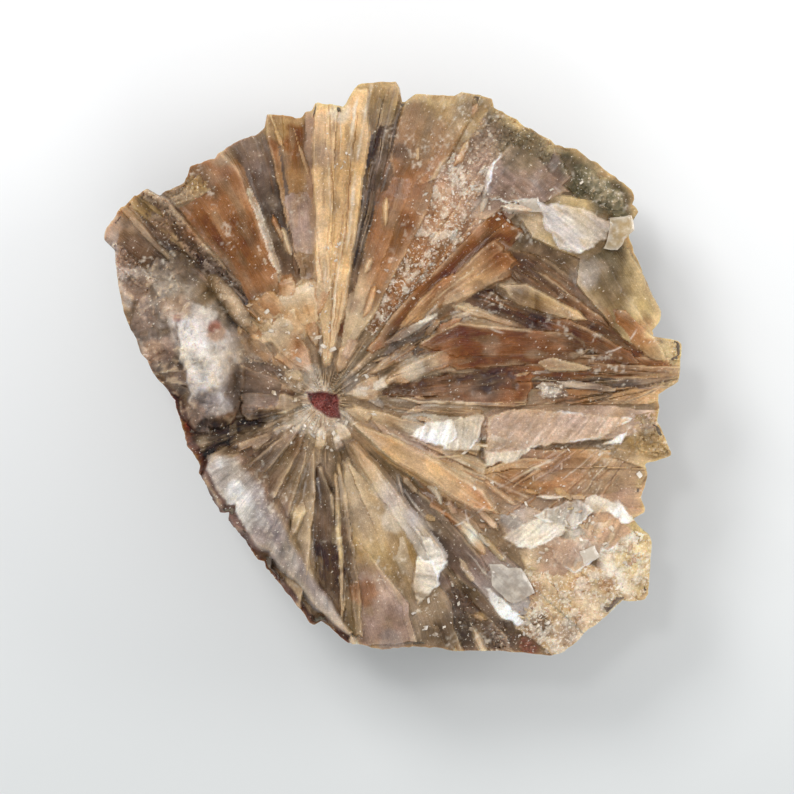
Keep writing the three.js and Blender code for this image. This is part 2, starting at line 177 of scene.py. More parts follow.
# Start, end, width at the start and at the end, top above the mean face at the start and at the
# end, roll in degrees, finish, tones from start to end.
BLADES = {
    # fan above the centre
    "golden_rib": [(86.8, 2.6), (86.6, 19.4), 1.1, 3.3, 0.45, 0.9, -7, "fibre", "straw gilt gilt"],
    "olive_tip": [(80.8, 17.6), (80.8, 21.2), 2.4, 2.6, 0.5, 0.6, 4, "fibre", "khaki olive gold"],
    "gilt_edge": [(81.4, 9.5), (80.9, 18.2), 0.2, 0.4, 0.7, 0.9, 0, "flake", "straw cream ivory"],
    # painted shade: the dark side face of golden_rib, turned away from the light
    "umber_flank": [(77.4, 4.4), (77, 18.6), 1.0, 3.1, 0.15, 0.2, 10, "fibre", "rust slate sable"],
    "plum_rib": [(73.2, 13.2), (73.4, 18.5), 0.9, 1.4, 0.3, 0.2, 14, "fibre", "umber umber slate"],
    "amber_root": [(69, 3.4), (69, 15.5), 1.2, 3.3, 0.3, 0.45, -6, "plate", "cream amber copper"],
    "tan_head": [(69.8, 14.6), (68.8, 21.6), 2.6, 3.9, 0.6, 0.7, -4, "plate", "copper tan olive"],
    "tan_shoulder": [(64.2, 17.6), (63.2, 22.4), 1.6, 2.0, 0.4, 0.6, 9, "plate", "sand cream gold"],
    "honey_streak": [(63.6, 19), (62.9, 21.8), 0.4, 0.6, 0.75, 0.8, 9, "flake", "rust rust tan"],
    "sugar_slab": [(57.2, 5.4), (56.6, 18.6), 1.6, 5.0, 0.1, 0.4, 5, "sugar", "amber amber shell"],
    "rust_rib": [(47.5, 4.4), (43.8, 16.8), 1.2, 2.2, 0.15, 0.1, 14, "plate", "rust sienna rust"],
    "smoke_slab": [(53.2, 15.4), (51.6, 22.4), 3.8, 6.2, -0.1, 0.2, 7, "matrix", "shell mauve moss"],
    "smoke_lens": [(52.4, 15.2), (48.8, 18.6), 1.5, 2.0, 0.35, 0.4, -6, "flake", "rose mauve mauve"],
    "mauve_facet": [(46.6, 17.6), (45.6, 20.8), 2.0, 2.6, 0.25, 0.25, -8, "plate", "mauve lilac ash"],
    "rim_ledge": [(47.5, 21.9), (31.6, 23.2), 1.9, 2.1, -0.4, -0.3, -14, "matrix", "rind rind moss"],
    "pale_scar": [(54.6, 19), (50.2, 16), 0.5, 0.3, 0.6, 0.6, 0, "flake", "ivory satin dove"],
    "under_pearl": [(44.2, 17.9), (30.2, 21.3), 2.6, 3.4, 0.1, 0.1, -6, "plate", "cream glow olive"],
    "white_lip": [(47.6, 17.2), (42.2, 18.4), 0.35, 0.45, 0.7, 0.65, -20, "flake", "frost ivory shell"],
    # the side fan, whose blades close in on the tip at the right
    "apricot_face": [(41.5, 9.4), (38.6, 15.4), 1.0, 2.3, 0.45, 0.5, 10, "fibre", "sand honey rust"],
    "ash_slab": [(39, 15.2), (9, 20.8), 2.6, 1.5, 0.2, 0.2, -13, "fibre", "umber umber rust"],
    "ash_rib": [(33.5, 15.6), (14, 19), 0.9, 0.6, 0.35, 0.35, 18, "fibre", "umber cocoa rust"],
    "far_amber": [(18.4, 19.2), (6.6, 22.4), 1.4, 1.2, 0.5, 0.35, 8, "flake", "amber amber gold"],
    "golden_flake": [(32.4, 13.8), (17, 17.8), 1.4, 0.9, 0.85, 0.65, 10, "flake", "cream gold straw"],
    "amber_lens": [(20.4, 15), (6.8, 20.6), 1.3, 1.3, 0.55, 0.45, 12, "flake", "sienna rust copper"],
    "russet_face": [(35.5, 11.4), (7.2, 20.4), 1.8, 0.9, -0.1, 0.1, 22, "fibre", "umber cocoa cocoa"],
    "slate_strip": [(37.5, 11.6), (14.2, 15.6), 1.5, 1.0, 0.0, 0.1, 14, "fibre", "umber cocoa umber"],
    "pink_edge": [(35, 10.6), (19.5, 14.0), 0.25, 0.35, 0.45, 0.35, 0, "flake", "cream sand ash"],
    "orange_face": [(30, 7.2), (11, 17.6), 2.9, 2.6, 0.7, 0.5, 6, "flake", "sienna sienna cocoa"],
    "graphite_patch": [(36.5, 5.0), (29, 8.9), 1.3, 1.9, 0.05, 0.1, -8, "matrix", "lilac slate char"],
    "bright_edge": [(43, 5.6), (36.6, 8.8), 0.4, 0.5, 0.45, 0.5, 18, "fibre", "mauve ivory frost"],
    "straw_blade": [(43.5, 6.6), (42.4, 11.6), 0.6, 1.0, 0.4, 0.45, 14, "fibre", "honey honey copper"],
    "ochre_blade": [(16.5, 4.2), (19.8, 10.2), 0.9, 0.8, 0.5, 0.4, 16, "fibre", "sand khaki copper"],
    # painted shade: dark tones in a deep groove between the blades
    "cocoa_wedge": [(8, 4), (4.2, 13.4), 1.3, 2.4, 0.35, 0.35, -10, "fibre", "cocoa sable sienna"],
    "brick_lamella": [(13.6, 9.6), (6.4, 21.4), 1.3, 0.8, 0.25, 0.25, 14, "fibre", "sienna rust copper"],
    "chestnut_lamella": [(9.4, 11), (4.6, 22), 1.0, 0.9, 0.2, 0.2, 16, "fibre", "rust rust tan"],
    "grey_lamella": [(4.6, 12.2), (2.8, 21.8), 0.9, 0.8, 0.1, 0.15, 16, "fibre", "sable slate ash"],
    "lilac_streak": [(4.6, 15.2), (1.9, 19), 0.35, 0.4, 0.4, 0.35, 0, "flake", "dove lilac ash"],
    "tan_lamella": [(1.2, 10.6), (0.8, 21.6), 0.8, 0.9, 0.1, 0.15, 12, "fibre", "khaki copper honey"],
    "cream_flake": [(9.8, 14.2), (6.6, 17.4), 0.9, 0.3, 0.6, 0.5, 8, "flake", "sand cream khaki"],
    "spark_patch": [(2.8, 13.8), (2.2, 15.8), 0.8, 0.6, 0.35, 0.3, 0, "sugar", "ash dove ash"],
    "tip_plate": [(5.2, 19.6), (6.4, 23.6), 2.4, 2.3, 0.05, -0.1, -12, "matrix", "tan olive glow"],
    "olive_border": [(30, 20), (11.2, 21.6), 4.0, 2.4, 0.15, 0.15, -12, "plate", "moss olive glow"],
    # fan to the lower right
    "khaki_comb": [(358.4, 2.8), (357.4, 10.2), 0.9, 1.2, 0.05, 0.1, 8, "fibre", "khaki khaki sand"],
    "under_rose": [(350, 9.8), (356, 20.4), 2.9, 1.6, 0.0, 0.0, -5, "plate", "rose sand rose"],
    "under_glare": [(344, 5.2), (348, 10.2), 1.6, 2.0, 0.0, 0.0, -10, "plate", "ivory frost ivory"],
    "border_gold": [(353.4, 20), (354.6, 22.4), 2.2, 2.6, 0.1, 0.0, -8, "matrix", "gold olive gold"],
    "border_ochre": [(351, 18.4), (350.6, 21.8), 1.2, 1.8, 0.2, 0.1, -8, "plate", "olive gold olive"],
    "buff_rib": [(343, 2.4), (342, 7.4), 0.6, 0.9, 0.1, 0.2, 12, "fibre", "cream sand ivory"],
    "mauve_rib": [(328.5, 2.8), (335.4, 11.4), 0.5, 1.2, 0.1, 0.1, 16, "fibre", "mauve shell cream"],
    "long_gold_rib": [(319.5, 2.4), (327, 13.2), 0.9, 2.0, 0.7, 0.5, -8, "flake", "honey gilt amber"],
    "brick_slab": [(339.4, 11), (348.2, 19.2), 1.2, 1.1, 0.15, 0.2, 12, "fibre", "rose copper honey"],
    "ochre_fibres": [(332.5, 11.2), (346, 20.4), 2.4, 1.8, 0.0, 0.15, 9, "fibre", "honey amber sand"],
    "khaki_fibres": [(325, 12.2), (342.6, 21.6), 2.6, 2.2, -0.15, 0.0, -8, "fibre", "sand mauve peach"],
    "under_peach": [(336, 17.4), (335, 21.8), 2.6, 3.4, 0.1, 0.0, 6, "plate", "ivory frost glow"],
    "under_lens": [(326, 13.8), (330, 19.6), 2.2, 2.6, 0.1, 0.1, 0, "plate", "dove rose ivory"],
    "beige_face": [(323.5, 16), (326.4, 19.4), 2.4, 2.4, 0.2, 0.25, 8, "plate", "cream shell shell"],
    "honey_corner": [(317.5, 17.4), (320.6, 23.2), 5.2, 5.6, 0.0, 0.0, 4, "sugar", "cream straw cream"],
    "lobe": [(330.6, 20.6), (332.8, 24.1), 3.4, 3.6, 0.0, -0.3, 5, "sugar", "frost frost glow"],
    "under_grey": [(315, 13.6), (313.6, 19), 2.4, 2.6, 0.0, 0.0, -8, "plate", "mauve lilac dove"],
    "silver_edge": [(301, 3.4), (304.8, 13.2), 0.6, 1.2, 0.45, 0.6, 12, "fibre", "sand satin pearl"],
    "under_silver": [(300, 10.4), (299, 15), 1.6, 2.4, 0.1, 0.1, 0, "plate", "ivory dove ash"],
    "dark_matrix": [(297, 12.6), (300, 20.5), 2.8, 4.6, -0.25, -0.3, 8, "matrix", "slate char ash"],
    "maroon_matrix": [(306, 16), (309.6, 22), 2.2, 3.4, -0.2, -0.2, -8, "matrix", "ash slate umber"],
    # painted shade: dark tones in a deep groove between the blades
    "slate_groove": [(312.4, 7.2), (310.8, 15.6), 1.2, 1.7, 0.1, 0.0, 14, "fibre", "slate slate ash"],
    "umber_chip": [(317, 8.6), (319.4, 13.4), 0.8, 1.0, 0.25, 0.2, -14, "flake", "rust copper sand"],
    "tan_flake": [(318.4, 12), (316.2, 14.4), 0.7, 0.5, 0.45, 0.4, 10, "flake", "cream ivory sand"],
    "honey_plate": [(289, 4.4), (290, 16.8), 1.3, 6.0, 0.35, 0.7, -6, "plate", "cream gold khaki"],
    "honey_facet": [(281.8, 9.3), (284.4, 15), 0.4, 3.8, 0.66, 0.75, -4, "plate", "gold mauve mauve"],
    "amber_rib": [(281.6, 4.4), (277.4, 14.4), 0.5, 1.0, 0.3, 0.4, 12, "fibre", "olive umber olive"],
    "brown_rib": [(277.6, 5), (274.6, 13.6), 0.25, 0.3, 0.45, 0.45, 0, "flake", "khaki glow khaki"],
    # painted shade: dark tones in a deep groove between the blades
    "slate_rib": [(265.5, 4.4), (272.2, 13.4), 0.7, 1.7, 0.3, 0.25, -8, "plate", "slate sable sable"],
    "cream_chip": [(257.5, 6.8), (256.4, 9), 0.6, 0.5, 0.4, 0.35, 0, "flake", "khaki glow khaki"],
    "olive_rib": [(257, 3.4), (259.4, 12.4), 0.6, 1.8, 0.1, 0.1, 12, "plate", "khaki olive khaki"],
    "moss_rib": [(246.5, 3), (246.5, 8.8), 0.6, 1.6, 0.1, 0.1, -12, "plate", "khaki olive ash"],
    "khaki_rib": [(236, 2.6), (236.5, 7.6), 0.6, 1.4, 0.15, 0.1, 12, "plate", "umber olive ash"],
    "straw_rib": [(225.5, 2.4), (225.5, 7), 0.5, 1.0, 0.2, 0.1, -10, "plate", "ash slate ash"],
    "sable_rib": [(215.5, 2.4), (214.5, 6.8), 0.5, 1.0, 0.0, -0.2, 12, "fibre", "khaki slate ash"],
    # crusted side
    # painted shade: a dark blade laid in the shaded cleft below the crest
    "char_cleft": [(193, 3.4), (194, 9.6), 1.4, 3.6, -0.3, -0.6, 0, "fibre", "slate char slate"],
    "ochre_root": [(184, 1.8), (184, 5.4), 1.0, 1.5, 0.2, 0.2, 0, "plate", "khaki cocoa sable"],
    "umber_root": [(171, 2.2), (170.5, 7.4), 1.2, 2.8, 0.1, 0.3, -8, "fibre", "umber slate satin"],
    "moss_root": [(158, 2.4), (157, 7.6), 0.9, 1.8, 0.1, 0.4, 10, "matrix", "ash slate pearl"],
    # fan to the upper left
    "corner_face": [(142.6, 12.4), (142, 18.8), 1.8, 3.6, -0.2, 0.0, 0, "plate", "slate umber tan"],
    "corner_strip": [(150, 12.4), (145.5, 17.3), 1.4, 1.6, -0.3, -0.1, -10, "matrix", "ash satin shell"],
    "button": [(118, 2.4), (128, 5.8), 1.3, 2.3, 0.5, 0.7, 6, "plate", "peach amber cream"],
    "honey_block": [(104, 4.6), (106, 7.4), 1.4, 2.2, 0.45, 0.6, -5, "plate", "straw honey cream"],
    "olive_glass": [(139.5, 8.2), (137.6, 12.4), 1.1, 1.1, -0.1, -0.2, -14, "plate", "mauve khaki mauve"],
    "slate_sliver": [(130, 7.4), (133, 12.4), 0.6, 0.8, 0.1, 0.0, -16, "fibre", "lilac ash lilac"],
    # painted shade: dark tones in a deep groove between the blades
    "umber_wedge": [(130, 7), (137, 17.4), 1.3, 4.4, -0.1, -0.1, -12, "matrix", "slate sable sable"],
    "tan_sliver": [(131.4, 11.4), (132.4, 18.2), 0.4, 1.3, 0.25, 0.5, 10, "fibre", "mauve gold gold"],
    "brown_plate": [(119, 6.2), (120.6, 17), 1.6, 5.0, 0.45, 0.75, -7, "plate", "copper rust copper"],
    "gold_lip": [(111.8, 8.2), (112.6, 15.2), 0.4, 1.0, 0.7, 0.95, -9, "sugar", "sand ivory cream"],
    "plate_rim": [(112.5, 16.2), (127.5, 16.7), 1.2, 1.2, 0.75, 0.75, 0, "matrix", "khaki gold khaki"],
    # painted shade: the dark side face of brown_plate, turned away from the light
    "sable_flank": [(104.6, 7.4), (105.8, 18), 1.1, 3.3, 0.1, 0.1, -8, "fibre", "umber slate ash"],
    "russet_plate": [(97.6, 6.8), (97.4, 18.9), 0.9, 2.8, 0.15, 0.3, 7, "plate", "tan honey rust"],
    "rose_veil": [(97.2, 9), (96.8, 13.6), 1.2, 1.9, 0.3, 0.38, 7, "plate", "rose mauve mauve"],
    "pink_rib": [(92.6, 7.6), (92.6, 19), 0.5, 1.2, 0.3, 0.45, -10, "fibre", "straw copper shell"],
}

# Short crystals heaped over the blades: bearings, radii, how many, lengths, widths, tops above the
# mean face, finish, tones.
HEAPS = [
    ((0, 360), (1.6, 3.2), 22, (0.7, 1.7), (0.3, 0.8), (0.0, 0.3), "plate", "cream sand shell ivory dove"),
    ((92, 150), (3.4, 6.8), 26, (1.0, 2.2), (0.6, 1.2), (0.3, 0.75), "plate", "honey cream straw amber"),
    ((8, 40), (3.5, 8), 10, (1.4, 3.4), (0.3, 0.7), (0.2, 0.4), "fibre", "khaki ash slate umber sand"),
    ((318, 352), (3, 10), 10, (1.4, 3.4), (0.3, 0.7), (0.2, 0.4), "fibre", "sand gold shell"),
    ((205, 262), (3, 6.5), 12, (1.4, 3), (0.3, 0.6), (0.0, 0.2), "plate", "umber olive slate"),
    ((316, 352), (5, 20), 50, (0.7, 2.4), (0.2, 0.55), (0.1, 0.4), "flake", "cream ivory honey gold peach"),
    ((2, 45), (4, 15), 18, (0.6, 2.0), (0.15, 0.45), (0.3, 0.6), "flake", "sand rust honey sienna dove"),
    ((272, 316), (6, 19), 16, (0.6, 2.0), (0.15, 0.45), (0.3, 0.8), "flake", "cream dove olive gold ivory"),
    ((50, 130), (6, 18), 12, (0.6, 2.2), (0.15, 0.4), (0.5, 0.9), "flake", "cream honey straw amber"),
]

# Thin ribs and grooves that follow the face: bearings, radii, how many, lengths, widths, height of
# a rib (a groove where below 0), the point they spread from or close in on, tones.
CENTRE = (0.0, 0.0)
TIP = (23.6, 1.6)  # of the lobe at the right
# The dark tones that most grooves take are painted shade in them.
RIBS = [
    ((82, 91), (3, 16), 24, (3, 7), (0.11, 0.3), 0.06, CENTRE, "ivory straw cream gold"),
    ((82, 91), (3, 17), 14, (3, 7), (0.08, 0.2), -0.06, CENTRE, "amber honey"),
    ((74, 80.5), (5, 16), 36, (3, 7), (0.08, 0.2), 0.06, CENTRE, "dove slate olive ash"),
    ((74, 80.5), (5, 16), 12, (3, 6), (0.09, 0.22), -0.08, CENTRE, "char sable"),
    ((62, 73), (4, 16), 9, (2, 6), (0.08, 0.2), 0.03, CENTRE, "copper peach rust"),
    ((40, 52), (5, 13), 12, (2.5, 6), (0.09, 0.22), 0.04, CENTRE, "sienna cream rust amber"),
    ((0, 45), (3.5, 9), 39, (1.6, 4), (0.09, 0.3), 0.06, CENTRE, "ash umber sienna rust cocoa khaki"),
    ((0, 45), (3.5, 10), 15, (1.6, 4), (0.09, 0.22), -0.08, CENTRE, "cocoa umber"),
    ((345, 360), (3, 9), 27, (2, 4.5), (0.11, 0.3), 0.07, CENTRE, "khaki umber sand ivory"),
    ((4, 38), (11, 19), 90, (2, 6), (0.08, 0.2), 0.04, TIP, "cocoa umber sienna rust ash"),
    ((4, 38), (11, 19), 39, (2, 6), (0.08, 0.2), -0.07, TIP, "cocoa sable umber"),
    ((352, 366), (11, 19), 21, (2.5, 6), (0.09, 0.22), 0.06, TIP, "honey umber copper cream"),
    ((355, 366), (11, 19), 12, (2.5, 6), (0.08, 0.2), -0.1, TIP, "sable cocoa"),
    ((316, 342), (4, 12), 39, (2, 5.5), (0.11, 0.3), 0.07, CENTRE, "honey amber ivory shell ash"),
    ((316, 342), (4, 12), 15, (2, 5), (0.08, 0.22), -0.08, CENTRE, "umber rust cocoa"),
    ((322, 349), (12, 19.5), 51, (2, 5), (0.09, 0.26), 0.06, TIP, "sand amber khaki peach ivory mauve"),
    ((322, 349), (12, 19.5), 18, (2, 5), (0.08, 0.22), -0.07, TIP, "umber rust ash"),
    ((295, 316), (5, 15), 18, (2, 5), (0.09, 0.26), 0.06, CENTRE, "slate dove ivory ash"),
    ((262, 282), (4, 14), 18, (2, 5), (0.09, 0.26), 0.06, CENTRE, "slate olive sable"),
    ((282, 295), (6, 15), 8, (2, 5), (0.08, 0.22), 0.03, CENTRE, "cream khaki gold"),
    ((205, 262), (3, 8), 39, (2, 4), (0.11, 0.3), 0.04, CENTRE, "khaki umber slate olive"),
    ((205, 262), (3, 8), 12, (2, 4), (0.09, 0.22), -0.05, CENTRE, "sable char umber"),
    ((183, 207), (2.5, 8), 39, (1.5, 3.5), (0.09, 0.26), 0.07, CENTRE, "char sable slate dove"),
    ((101, 109), (8, 17), 12, (2.5, 5), (0.09, 0.26), 0.04, CENTRE, "umber slate ash"),
    ((92, 101), (8, 18), 8, (2.5, 5), (0.08, 0.22), 0.03, CENTRE, "shell honey copper"),
    ((111, 130), (7, 16), 9, (2.5, 6), (0.08, 0.22), 0.03, CENTRE, "tan honey rust"),
    ((126, 142), (8, 16), 21, (2.5, 5), (0.09, 0.26), 0.06, CENTRE, "slate sable ash umber"),
]
SCRATCHES = 60  # how many hair-thin pale arcs are drawn

# Lumps of crust on the face, as in the CAD model: [centre, heading of the long side, half sizes
# along and across it, half height, height of the centre above the mean face, tone].
BOSSES = [
    [(134, 9.0), 128, 2.3, 0.7, 1.6, -0.2, "khaki"],
    [(118, 16.9), 25, 1.5, 0.6, 1.1, -0.6, "khaki"],
    [(37, 22.6), 312, 2.8, 1.0, 1.2, -1.0, "rind"],
]

# The high crest of crust at the left: [place, height above the mean face, reach inwards, reach
# outwards].
CREST = [
    [(141, 12.6), 0.3, 1.4, 1.6],
    [(146, 11.0), 1.3, 2.2, 3.4],
    [(151, 9.1), 2.5, 2.3, 5.2],
    [(160, 7.6), 2.7, 2.0, 5.4],
    [(171, 7.2), 2.1, 1.7, 3.6],
    [(180, 7.2), 0.5, 1.6, 2.0],
]

# Clear plates set down into the face: [material, tone, top above the mean face, corners (x, y)].
PLATES = {
    "pearl_side": ["clear", "glow", 0.5, [(18.6, 11.9), (20.0, 12.1), (20.2, 11.1), (19.1, 9.8),
        (18.2, 9.9), (18.5, 10.8)]],
    "pearl_tail": ["clear", "ivory", 0.6, [(12.2, 13.1), (13.9, 13.2), (14.4, 12.2), (13.2, 12.3)]],
    "pearl_drop": ["smoky", "ivory", 0.35, [(16.6, -9.9), (17.6, -9.5), (18.0, -10.2), (16.9, -10.8)]],
    "grey_glass": ["clear", "pearl", 0.45, [(10.7, -10.7), (12.8, -11), (13.7, -12.6), (12.3, -13.3),
        (10.9, -12.1)]],
}

# Smooth bright facets of the face; the white ones are white cleavage with painted glare on it: [tone,
# height above what lies around, corners (x, y)].
FACETS = {
    "smoke_face": ["mauve", 0.05, [(10.3, 13.2), (10.9, 15.4), (12.0, 16.8), (14.0, 15.9),
        (16.0, 13.6), (14.4, 12.9), (12.4, 12.8)]],
    "pearl_plate": ["chalk", 0.3, [(13.8, 12.9), (15.8, 12.9), (18.7, 11.7), (18.5, 10.5), (16.6, 9.5),
        (15.3, 10.0), (14.2, 11.7)]],
    "glare_side": ["ivory", 0.08, [(7.8, -1.3), (10.4, -0.8), (10.3, -2.2), (9.5, -3.3), (7.6, -3.3)]],
    "glare_near": ["white", 0.12, [(5.4, -2.3), (6.6, -1.4), (8.4, -1.1), (8.6, -2.4), (7.9, -3.1),
        (6.5, -2.9)]],
    "rose_glass": ["rose", 0.15, [(10.5, -1.0), (11.9, -0.5), (15.4, -0.6), (20.1, -1.2), (18.4, -2.4),
        (16.6, -2.8), (14.2, -3.0), (12.5, -3.8), (10.5, -3.9)]],
    "rose_wing": ["ivory", 0.06, [(10.4, -3.1), (11.4, -3.4), (13.9, -2.9), (12.6, -3.9), (10.4, -4.3)]],
    "glare_far": ["white", 0.08, [(17.9, -3.0), (19.2, -2.3), (20, -1.8), (19.4, -2.9)]],
    "peach_plate": ["peach", 0.1, [(16.6, -8.2), (18.3, -6.6), (20, -8.7), (18.6, -10.0), (17.4, -9.5)]],
    "peach_corner": ["white", 0.08, [(18.2, -7.1), (19.2, -6.4), (20.2, -7.9), (19.4, -8.2)]],
    "pearl_left": ["frost", 0.1, [(11.4, -9.0), (13.2, -7.8), (15.1, -7.4), (15.9, -8.5), (13.4, -9.9)]],
    "pearl_lens": ["rose", 0.1, [(14.9, -9.1), (16.6, -8.8), (18.1, -9.3), (18.3, -10.1),
        (16.4, -11.4), (14.8, -10.3)]],
    "grey_side": ["pearl", 0.08, [(13.4, -7.6), (16.4, -6.4), (17.6, -7.2), (16.2, -8.4)]],
    "white_streak": ["white", 0.12, [(10.2, -12.1), (10.9, -12.2), (13.2, -14.6), (12.6, -14.9),
        (11.2, -13.9)]],
    "silver_facet": ["ivory", 0.1, [(6.1, -10.2), (7.6, -10.6), (7.4, -12.0), (6.0, -13.6),
        (5.7, -12.0)]],
    "silver_crest": ["frost", 0.1, [(5.8, -8.4), (6.8, -9.0), (8.0, -10.6), (7.4, -11.6), (6.9, -10.4)]],
}

# Soft ragged stains on the face, and some dark patches of painted shade noted below: [place, reach, tone,
# strength].
STAINS = [
    [(148, 11.4), 1.2, "shell", 0.5], [(143, 12.6), 1.2, "dove", 0.8],
    [(137, 10.2), 1.0, "khaki", 0.7], [(148, 8.2), 0.8, "copper", 0.7],
    [(151, 10.9), 0.4, "maroon", 0.7], [(146, 8.6), 0.5, "maroon", 0.6],
    # the umber and slate ones at 166, 175 and 182 degrees are painted shade on the low inner side of the
    # crest
    [(163, 10.9), 1.0, "mauve", 0.8], [(171, 10), 1.0, "ash", 0.8], [(166, 5.3), 1.2, "umber", 0.8],
    [(175, 5.6), 1.4, "slate", 0.8], [(137, 12.6), 1.5, "slate", 0.8],
    [(134, 15.5), 1.2, "umber", 0.6], [(182, 7.6), 1.2, "slate", 0.8], [(186, 8.8), 1.1, "ash", 0.8],
    [(142, 15.4), 1.4, "umber", 0.7], [(149, 14.2), 1.2, "mauve", 0.7], [(156, 13), 1.2, "ash", 0.7],
    [(141, 18.2), 1.2, "rose", 0.7], [(165, 11.6), 1.0, "shell", 0.6], [(87, 18.8), 0.9, "ivory", 0.7],
    [(91, 16), 1.3, "mauve", 0.6], [(100, 18), 1.1, "gold", 0.7], [(113, 17.2), 1.0, "khaki", 0.7],
    # the sable one at 73.5 degrees deepens the painted shade of the dark side face beside golden_rib
    [(73.5, 17), 0.8, "sable", 0.7], [(65, 13), 0.9, "rust", 0.7], [(68, 20.8), 1.5, "gold", 0.5],
    [(126, 14), 1.4, "rust", 0.5], [(114, 10.5), 1.1, "amber", 0.5], [(121, 9), 0.9, "rust", 0.5],
    [(52, 20.6), 1.8, "moss", 0.5], [(30, 23.6), 1.4, "rind", 0.8], [(36, 23.0), 1.8, "rind", 0.8],
    [(43, 22.8), 1.8, "rind", 0.8], [(22, 22.2), 1.4, "glow", 0.5], [(12, 21.2), 1.1, "amber", 0.6],
    [(8, 23), 1.0, "glow", 0.6], [(350, 21.6), 1.1, "gold", 0.6], [(281.5, 12.8), 1.1, "rust", 0.7],
    [(289, 10.4), 1.0, "glow", 0.4], [(310, 20.9), 0.9, "maroon", 0.6],
    [(313, 20.4), 1.2, "umber", 0.8], [(304, 15.8), 1.3, "sable", 0.7],
    [(300, 17.4), 1.8, "slate", 0.5], [(285, 16.4), 1.2, "lilac", 0.7],
    [(324, 20.6), 0.9, "amber", 0.6], [(318, 18.4), 0.7, "copper", 0.6],
    [(327, 22), 0.7, "amber", 0.6], [(316, 22), 1.0, "ash", 0.5], [(20, 6), 1.0, "ivory", 0.5],
    # the cocoa one at 5 degrees and the sable one at 4.6 degrees deepen the painted shade of the dark
    # groove at the right
    [(5, 8), 1.2, "cocoa", 0.8], [(4.6, 10.6), 1.3, "sable", 0.6], [(26, 19), 1.3, "dove", 0.6],
    [(332.6, 22.8), 1.5, "butter", 0.8], [(299.5, 9), 1.0, "ivory", 0.6],
    [(302, 6.8), 0.8, "ivory", 0.5], [(225, 1.9), 1.1, "pearl", 0.7], [(255, 2.2), 0.9, "cream", 0.6],
    [(300, 1.6), 1.0, "pearl", 0.7], [(120, 1.8), 0.9, "pearl", 0.6], [(30, 1.9), 0.9, "dove", 0.6],
    [(318, 3.4), 1.0, "sand", 0.6], [(336, 13.4), 1.3, "copper", 0.5], [(300, 6), 1.2, "cream", 0.5],
]

# Patches with an outline of their own: [tone, strength, width of the soft edge, height, corners
# (x, y)].
PATCHES = {
    "outer_flank": ["slate", 0.8, 0.4, -0.2, [(-12.7, 8.2), (-10.9, 7.3), (-10.0, 5.2), (-9.2, 2.3),
        (-8.6, -0.4), (-9.7, -1.2), (-11.1, 2.3), (-12.6, 5.2)]],
    "corner_shade": ["slate", 0.6, 0.7, 0.0, [(-13.6, 11.9), (-11.1, 11.4), (-8.8, 9.4), (-9.7, 7.9),
        (-12.0, 7.8), (-13.2, 9.4)]],
    "rim_strip": ["satin", 0.6, 0.3, 0.0, [(-14.1, 11.2), (-13.5, 10.8), (-13.0, 8.0), (-12.4, 6.0),
        (-13.1, 6.0), (-13.8, 8.4)]],
    "white_core": ["chalk", 0.9, 0.25, 0.2, [(-9.9, 5.5), (-8.6, 6.2), (-7.2, 5.5), (-6.2, 3.8),
        (-6.2, 1.8), (-6.8, 0.2), (-7.9, -0.9), (-8.5, -0.2), (-8.7, 1.2), (-9.2, 2.9)]],
    "core_light": ["white", 0.25, 0.25, 0.1, [(-9.5, 5.2), (-8.4, 5.4), (-7.6, 3.8), (-7.4, 1.6),
        (-8.2, 0.4), (-8.6, 1.6), (-8.9, 3.2)]],
    "core_side": ["satin", 0.6, 0.3, 0.0, [(-6.6, 4.6), (-5.6, 4.0), (-5.4, 1.2), (-6.0, -0.8),
        (-7.0, -1.0), (-6.6, 1.2)]],
    "inner_flank": ["ash", 0.7, 0.3, -0.2, [(-5.4, 4.6), (-3.6, 3.4), (-2.8, 1.0), (-3.4, -0.4),
        (-5.6, -0.9), (-5.2, 1.4)]],
    "dark_fan": ["cocoa", 0.6, 0.5, 0.0, [(9.6, 7.4), (12.2, 8.0), (16.6, 5.3), (20.7, 1.9),
        (19.0, 2.2), (13.1, 5.3), (10.1, 6.2)]],
    "ash_shade": ["umber", 0.5, 0.5, 0.0, [(12.6, 11.3), (15.0, 9.8), (20.1, 3.4), (19.4, 3.1),
        (14.6, 8.2), (12.4, 10.2)]],
    "rose_frost": ["rose", 0.3, 0.5, 0.0, [(-1.1, 18.6), (0.2, 18.6), (0.0, 12.3), (-0.4, 7.9),
        (-1.0, 7.9), (-1.5, 15.2)]],
    "gold_core": ["honey", 0.3, 0.5, 0.0, [(0.6, 17.2), (2.0, 16.8), (0.9, 7.0), (0.3, 7.0)]],
    "cocoa_shade": ["cocoa", 0.95, 0.5, -0.1, [(4.0, 0.3), (8.0, 0.3), (12.4, 0.7), (12.2, 1.9),
        (8.0, 1.6), (4.4, 1.0)]],
    "graphite": ["slate", 0.6, 0.3, -0.05, [(4.2, 3.0), (6.4, 3.6), (7.4, 4.6), (6.9, 5.3), (5.4, 4.9),
        (4.0, 4.0)]],
    "slate_shade": ["sable", 0.75, 0.3, -0.05, [(-0.5, -4.6), (0.1, -5.4), (0.9, -8.8), (1.1, -12.8),
        (0.2, -12.6), (-0.6, -8.8), (-0.8, -6.0)]],
    "root_shade": ["umber", 0.4, 0.8, 0.0, [(-2.7, -1.3), (-6.1, -3.0), (-4.2, -6.1), (-2.5, -9.2),
        (-0.7, -5.0), (-1.6, -2.3)]],
    # painted shade: a char patch over the sunk hollow under the crest, where shade falls
    "hollow": ["char", 0.9, 0.9, -0.45, [(-9.4, -1.2), (-7.2, -1.2), (-4.6, -0.7), (-2.6, -0.6),
        (-4.4, -1.8), (-6.0, -3.2), (-7.8, -3.9), (-9.0, -2.6)]],
}

